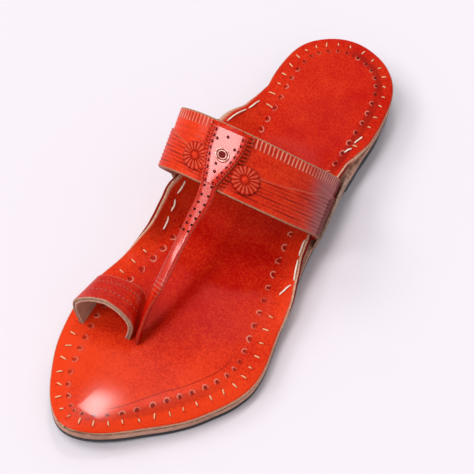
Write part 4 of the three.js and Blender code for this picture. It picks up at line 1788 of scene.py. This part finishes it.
@dataclass
class Ornaments:
    """Two rosettes and the eyelet, placed on the strap's band.

    The rosette's foot gives the height of its rim's first rings, as shares of its height.
    """

    leaf: Leaf
    radius: float = 7.2
    height: float = 1.5
    petals: int = 17
    lateral: Pair = (0.482, 0.69)
    medial: Pair = (0.626, 0.665)
    rosette_foot: tuple[float, ...] = (0.0, 0.15, 0.33)
    eyelet: Pair = (0.555, 0.505)
    eyelet_radius: float = 3.5
    eyelet_hole: float = 1.9
    eyelet_height: float = 0.9
    lip_radii: Pair = (0.42, 0.36)

    def rosette(self, side: str, place: Pair) -> Piece:
        """One rosette: petals are a rounded wave of the angle over a domed disc, cut deeper towards the rim.

        Args:
            side: lateral or medial.
            place: its place on the band.

        Returns:
            The piece.
        """
        strap = self.leaf.strap
        feet = len(self.rosette_foot)
        angle = turns(self.petals * 14)[None, :]
        reach = np.concatenate([np.ones(feet), np.linspace(0.985, 0.04, 26)])[:, None]
        petal = np.abs(np.sin(angle * self.petals / 2)) ** 0.45
        gap = 1 - petal
        inside = smooth((reach - 0.16) / 0.2)
        dome = np.sqrt(1 - (reach * 0.93) ** 4)
        button = 0.35 * hump(reach, 0.17) - 0.3 * hump(reach - 0.3, 0.07)
        shape = 0.42 + 0.5 * dome + button - 0.5 * gap * inside
        shape[:feet] = np.array(self.rosette_foot)[:, None] * (1 - 0.35 * gap)
        rim = self.radius * reach * (1 - 0.05 * gap * (reach > 0.9))
        height = strap.overlay - 0.1 + self.height * shape
        points = strap.band.near(*np.array(place), rim * np.cos(angle), rim * np.sin(angle), height)
        # Painted shade in the cuts between the petals, in the dent round the button and along the rim.
        cut_shade = 0.5 * np.clip(gap * 1.3, 0, 1) * inside + 0.4 * hump(reach - 0.3, 0.06)
        values = {
            "tone": 0.5,
            "raw": 0.38 * smooth((petal - 0.93) / 0.05) * smooth((reach - 0.35) / 0.1) * (reach < 0.9),
            "groove": cut_shade + 0.5 * (reach > 0.94),
        }
        return loft(f"rosette_{side}_petals", points, values)

    def lips(self) -> Piece:
        """Both rolled lips of the eyelet: each is a small circle carried round its hole.

        Returns:
            The piece.
        """
        reach = np.array([self.eyelet_radius - 0.4, self.eyelet_hole + 0.1])[:, None, None]
        half = np.array(self.lip_radii)[:, None, None]
        angle, turn = turns(64)[:, None], turns(14)
        out = reach + half * np.cos(turn)
        lift = self.leaf.height() + 0.15 + 0.3 * self.eyelet_height + half * np.sin(turn)
        place = np.array(self.eyelet)
        points = self.leaf.strap.band.near(*place, out * np.cos(angle), out * np.sin(angle), lift)
        count = angle.size * turn.size
        single = ring_faces(angle.size + 1, turn.size) % count
        return Piece("eyelet_rings", points.reshape(-1, 3), np.vstack([single, single + count]).tolist())

    def hole(self) -> Piece:
        """Dark hole inside the eyelet, a disc of painted shade.

        Returns:
            The piece.
        """
        arc, at = np.array(self.eyelet)[:, None]
        patch = self.leaf.strap.band.patch(arc, at, np.zeros(1), self.leaf.height() + 0.4, 1.0)
        radius = self.eyelet_radius
        profile = np.array([(radius, -0.3), (radius - 0.1, 0.05), (1.6, 0.0), (0.1, -0.2)])
        return discs("eyelet_hole", *patch, profile, 24)

    def build(self) -> None:
        """Builds the ornaments."""
        leather = Leather("rosette_leather", roughness=0.42, coat=0.15, grain=0.7).build()
        for side, place in (("lateral", self.lateral), ("medial", self.medial)):
            self.rosette(side, place).build(leather, "red_leather", [f"rosette_{side}"])
        self.lips().build(Metal("eyelet_metal").build(), "brass", ["eyelet"])
        self.hole().build(HoleShade("eyelet_hole_shade", (0.09, 0.008, 0.008)).build(), "brass")


@dataclass
class Stitching:
    """Threads of the sole's border and of the ears.

    Each stitch of the ears runs from y and across to y and across.
    """

    last: Last
    radius: float = 0.36
    ear_radius: float = 0.42
    length: float = 3.1
    arch: float = 0.35
    sunk: float = 0.2
    slant: float = 0.28
    scatter: float = 0.3
    missing: float = 0.06
    ears: Pair = (0.24, 0.6)
    seed: int = 7
    basting: Rows = (
        (127.7, 0.965, 135.0, 0.945),
        (137.5, 0.935, 143.1, 0.91),
        (145.5, 0.9, 151.9, 0.855),
        (87.1, 0.975, 73.0, 0.965),
        (71.5, 0.965, 62.4, 0.94),
        (121.0, -0.985, 130.0, -0.99),
        (131.5, -0.99, 141.9, -0.985),
        (143.9, -0.96, 151.0, -0.84),
        (52.0, -0.83, 58.0, -0.8),
        (61.5, -0.84, 66.0, -0.79),
    )

    def border(self) -> Piece:
        """Short stitches across the border, at equal steps of its run, each turned a little by chance.

        Returns:
            The piece.
        """
        last = self.last
        outline, run = last.border(1440)
        count = int((run[-1] + size(outline[0] - outline[-1])) / STITCH_PITCH)
        chance = np.random.default_rng(self.seed)
        places = (np.arange(count) + 0.5) * STITCH_PITCH + chance.uniform(-0.3, 0.3, count)
        index = np.searchsorted(run, places) % len(run)
        start = outline[index]
        ahead = unit(np.roll(outline, -4, axis=0) - np.roll(outline, 4, axis=0))[index]
        inward = np.stack([ahead[:, 1], -ahead[:, 0]], axis=-1)
        inward *= np.sign(((outline.mean(axis=0) - start) * inward).sum(axis=1, keepdims=True))
        way = unit(inward + ahead * chance.normal(0, self.slant, count)[:, None])
        near = STITCH_INSET / last.border_stretch(start[:, 1:])
        middle = start + inward * (near + chance.normal(0, self.scatter, count)[:, None])
        length = self.length * chance.uniform(0.5, 1.15, count)[:, None]
        along = middle[:, 1] / last.length
        first, final = self.ears
        keep = ~((along > first) & (along < final)) & (chance.uniform(size=count) > self.missing)
        share = np.linspace(-0.5, 0.5, 9)[:, None]
        x, y = np.moveaxis(middle[keep][:, None] + (way * length)[keep][:, None] * share, -1, 0)
        left, right = last.edges(y)
        across = np.clip((2 * x - left - right) / (right - left), -1, 1)
        normal = last.insole_normal(y, across)
        lift = self.arch * (1 - (2 * share[:, 0]) ** 4) - self.sunk + last.toe_dome(y, STITCH_INSET)
        paths = last.insole_top(y, across) + normal * lift[..., None]
        return tubes("border_stitches", paths, normal, self.radius)

    def running(self) -> Piece:
        """Long loose stitches inside the ears: each is a line on the face that lifts off in its middle.

        Returns:
            The piece.
        """
        rows = np.array(self.basting)
        share = np.linspace(0, 1, 15)[None, :]
        y, across = (mix(rows[:, [at]], rows[:, [at + 2]], share) for at in (0, 1))
        normal = self.last.insole_normal(y, across)
        lift = 0.15 + 0.5 * np.sin(np.pi * share) + 0.1 * np.sin(9 * share + y / 4)
        paths = self.last.insole_top(y, across) + normal * lift[..., None]
        return tubes("ear_threads", paths, normal, self.ear_radius)

    def build(self) -> None:
        """Builds the threads."""
        self.border().build(Thread("border_thread").build(), "red_leather")
        pale = Thread("ear_thread", light=(0.93, 0.84, 0.7), dark=(0.75, 0.5, 0.36)).build()
        self.running().build(pale, "red_leather")


@dataclass
class Studio:
    """Floor, lights and camera.

    Each lamp is a name, the direction in which it stands, its width in degrees, its strength and its colour.
    """

    eye: tuple[float, ...] = (-143.34, 305.83, 612.77)
    across: tuple[float, ...] = (-0.8377, -0.5461, 0.0)
    aim: tuple[float, ...] = (-2.0, 2.0, 12.0)
    focal_pixels: float = 1372.0
    frame_pixels: float = 474.0
    floor_half: float = 20.0
    sky: tuple[float, ...] = (1.0, 0.98, 1.0, 1.0)
    sky_strength: float = 0.5
    lamps: Sequence[tuple] = (
        ("key_light", (0.27, -0.08, 0.96), 14.0, 0.62, (1.0, 0.98, 1.0)),
        ("side_light", (0.72, 0.1, 0.68), 22.0, 0.62, (1.0, 0.99, 0.98)),
        ("toe_light", (0.18, -0.44, 0.88), 9.0, 0.36, (1.0, 1.0, 1.0)),
        ("thong_light", (0.27, 0.36, 0.89), 18.0, 0.72, (1.0, 0.97, 1.0)),
        ("front_light", (0.48, 0.51, 0.71), 15.0, 0.5, (0.99, 0.98, 1.0)),
    )

    def camera(self) -> None:
        """Camera at the photo's place, aimed at the sandal and rolled as the photo is."""
        data = bpy.data.cameras.new("camera")
        data.sensor_width = 36.0
        data.lens = data.sensor_width * self.focal_pixels / self.frame_pixels
        data.clip_start, data.clip_end = 0.01, 60.0
        made = add_object("camera", data)
        eye, aim = Vector(self.eye) * MM, Vector(self.aim) * MM
        back = (eye - aim).normalized()
        side = Vector(self.across)
        side = (side - back * side.dot(back)).normalized()
        turned = Matrix((side, back.cross(side), back)).transposed().to_4x4()
        made.matrix_world = Matrix.Translation(eye) @ turned
        bpy.context.scene.camera = made

    def build(self) -> None:
        """Builds the floor, the lights and the camera."""
        half = self.floor_half
        mesh = bpy.data.meshes.new("floor")
        corners = [(-half, -half, 0), (half, -half, 0), (half, half, 0), (-half, half, 0)]
        mesh.from_pydata(corners, [], [(0, 1, 2, 3)])
        mesh.materials.append(Paper("floor_paper").build())
        add_object("floor", mesh)
        world = bpy.data.worlds.new("studio")
        world.use_nodes = True
        sky = world.node_tree.nodes["Background"]
        sky.inputs["Color"].default_value = self.sky
        sky.inputs["Strength"].default_value = self.sky_strength
        bpy.context.scene.world = world
        for name, heading, spread, power, colour in self.lamps:
            data = bpy.data.lights.new(name, "SUN")
            data.angle, data.energy, data.color = math.radians(spread), power, colour
            made = add_object(name, data)
            made.location = heading
            made.rotation_mode = "QUATERNION"
            made.rotation_quaternion = (-Vector(heading)).to_track_quat("-Z", "Y")
        bpy.context.scene.view_settings.view_transform = "Standard"
        self.camera()


def main() -> None:
    """Builds the sandal and its studio."""
    logging.basicConfig(level=logging.INFO, format="%(message)s")
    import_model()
    last = Last()
    strap = Strap(last)
    leaf = Leaf(strap)
    soles = [SoleStack(last), Insole(last)]
    uppers = [strap, leaf, Thong(leaf), ToeLoop(last), OuterEars(strap)]
    for assembly in [*soles, *uppers, Ornaments(leaf), Stitching(last), Studio()]:
        assembly.build()
        log.info("built %s", type(assembly).__name__)


if __name__ == "__main__":
    main()
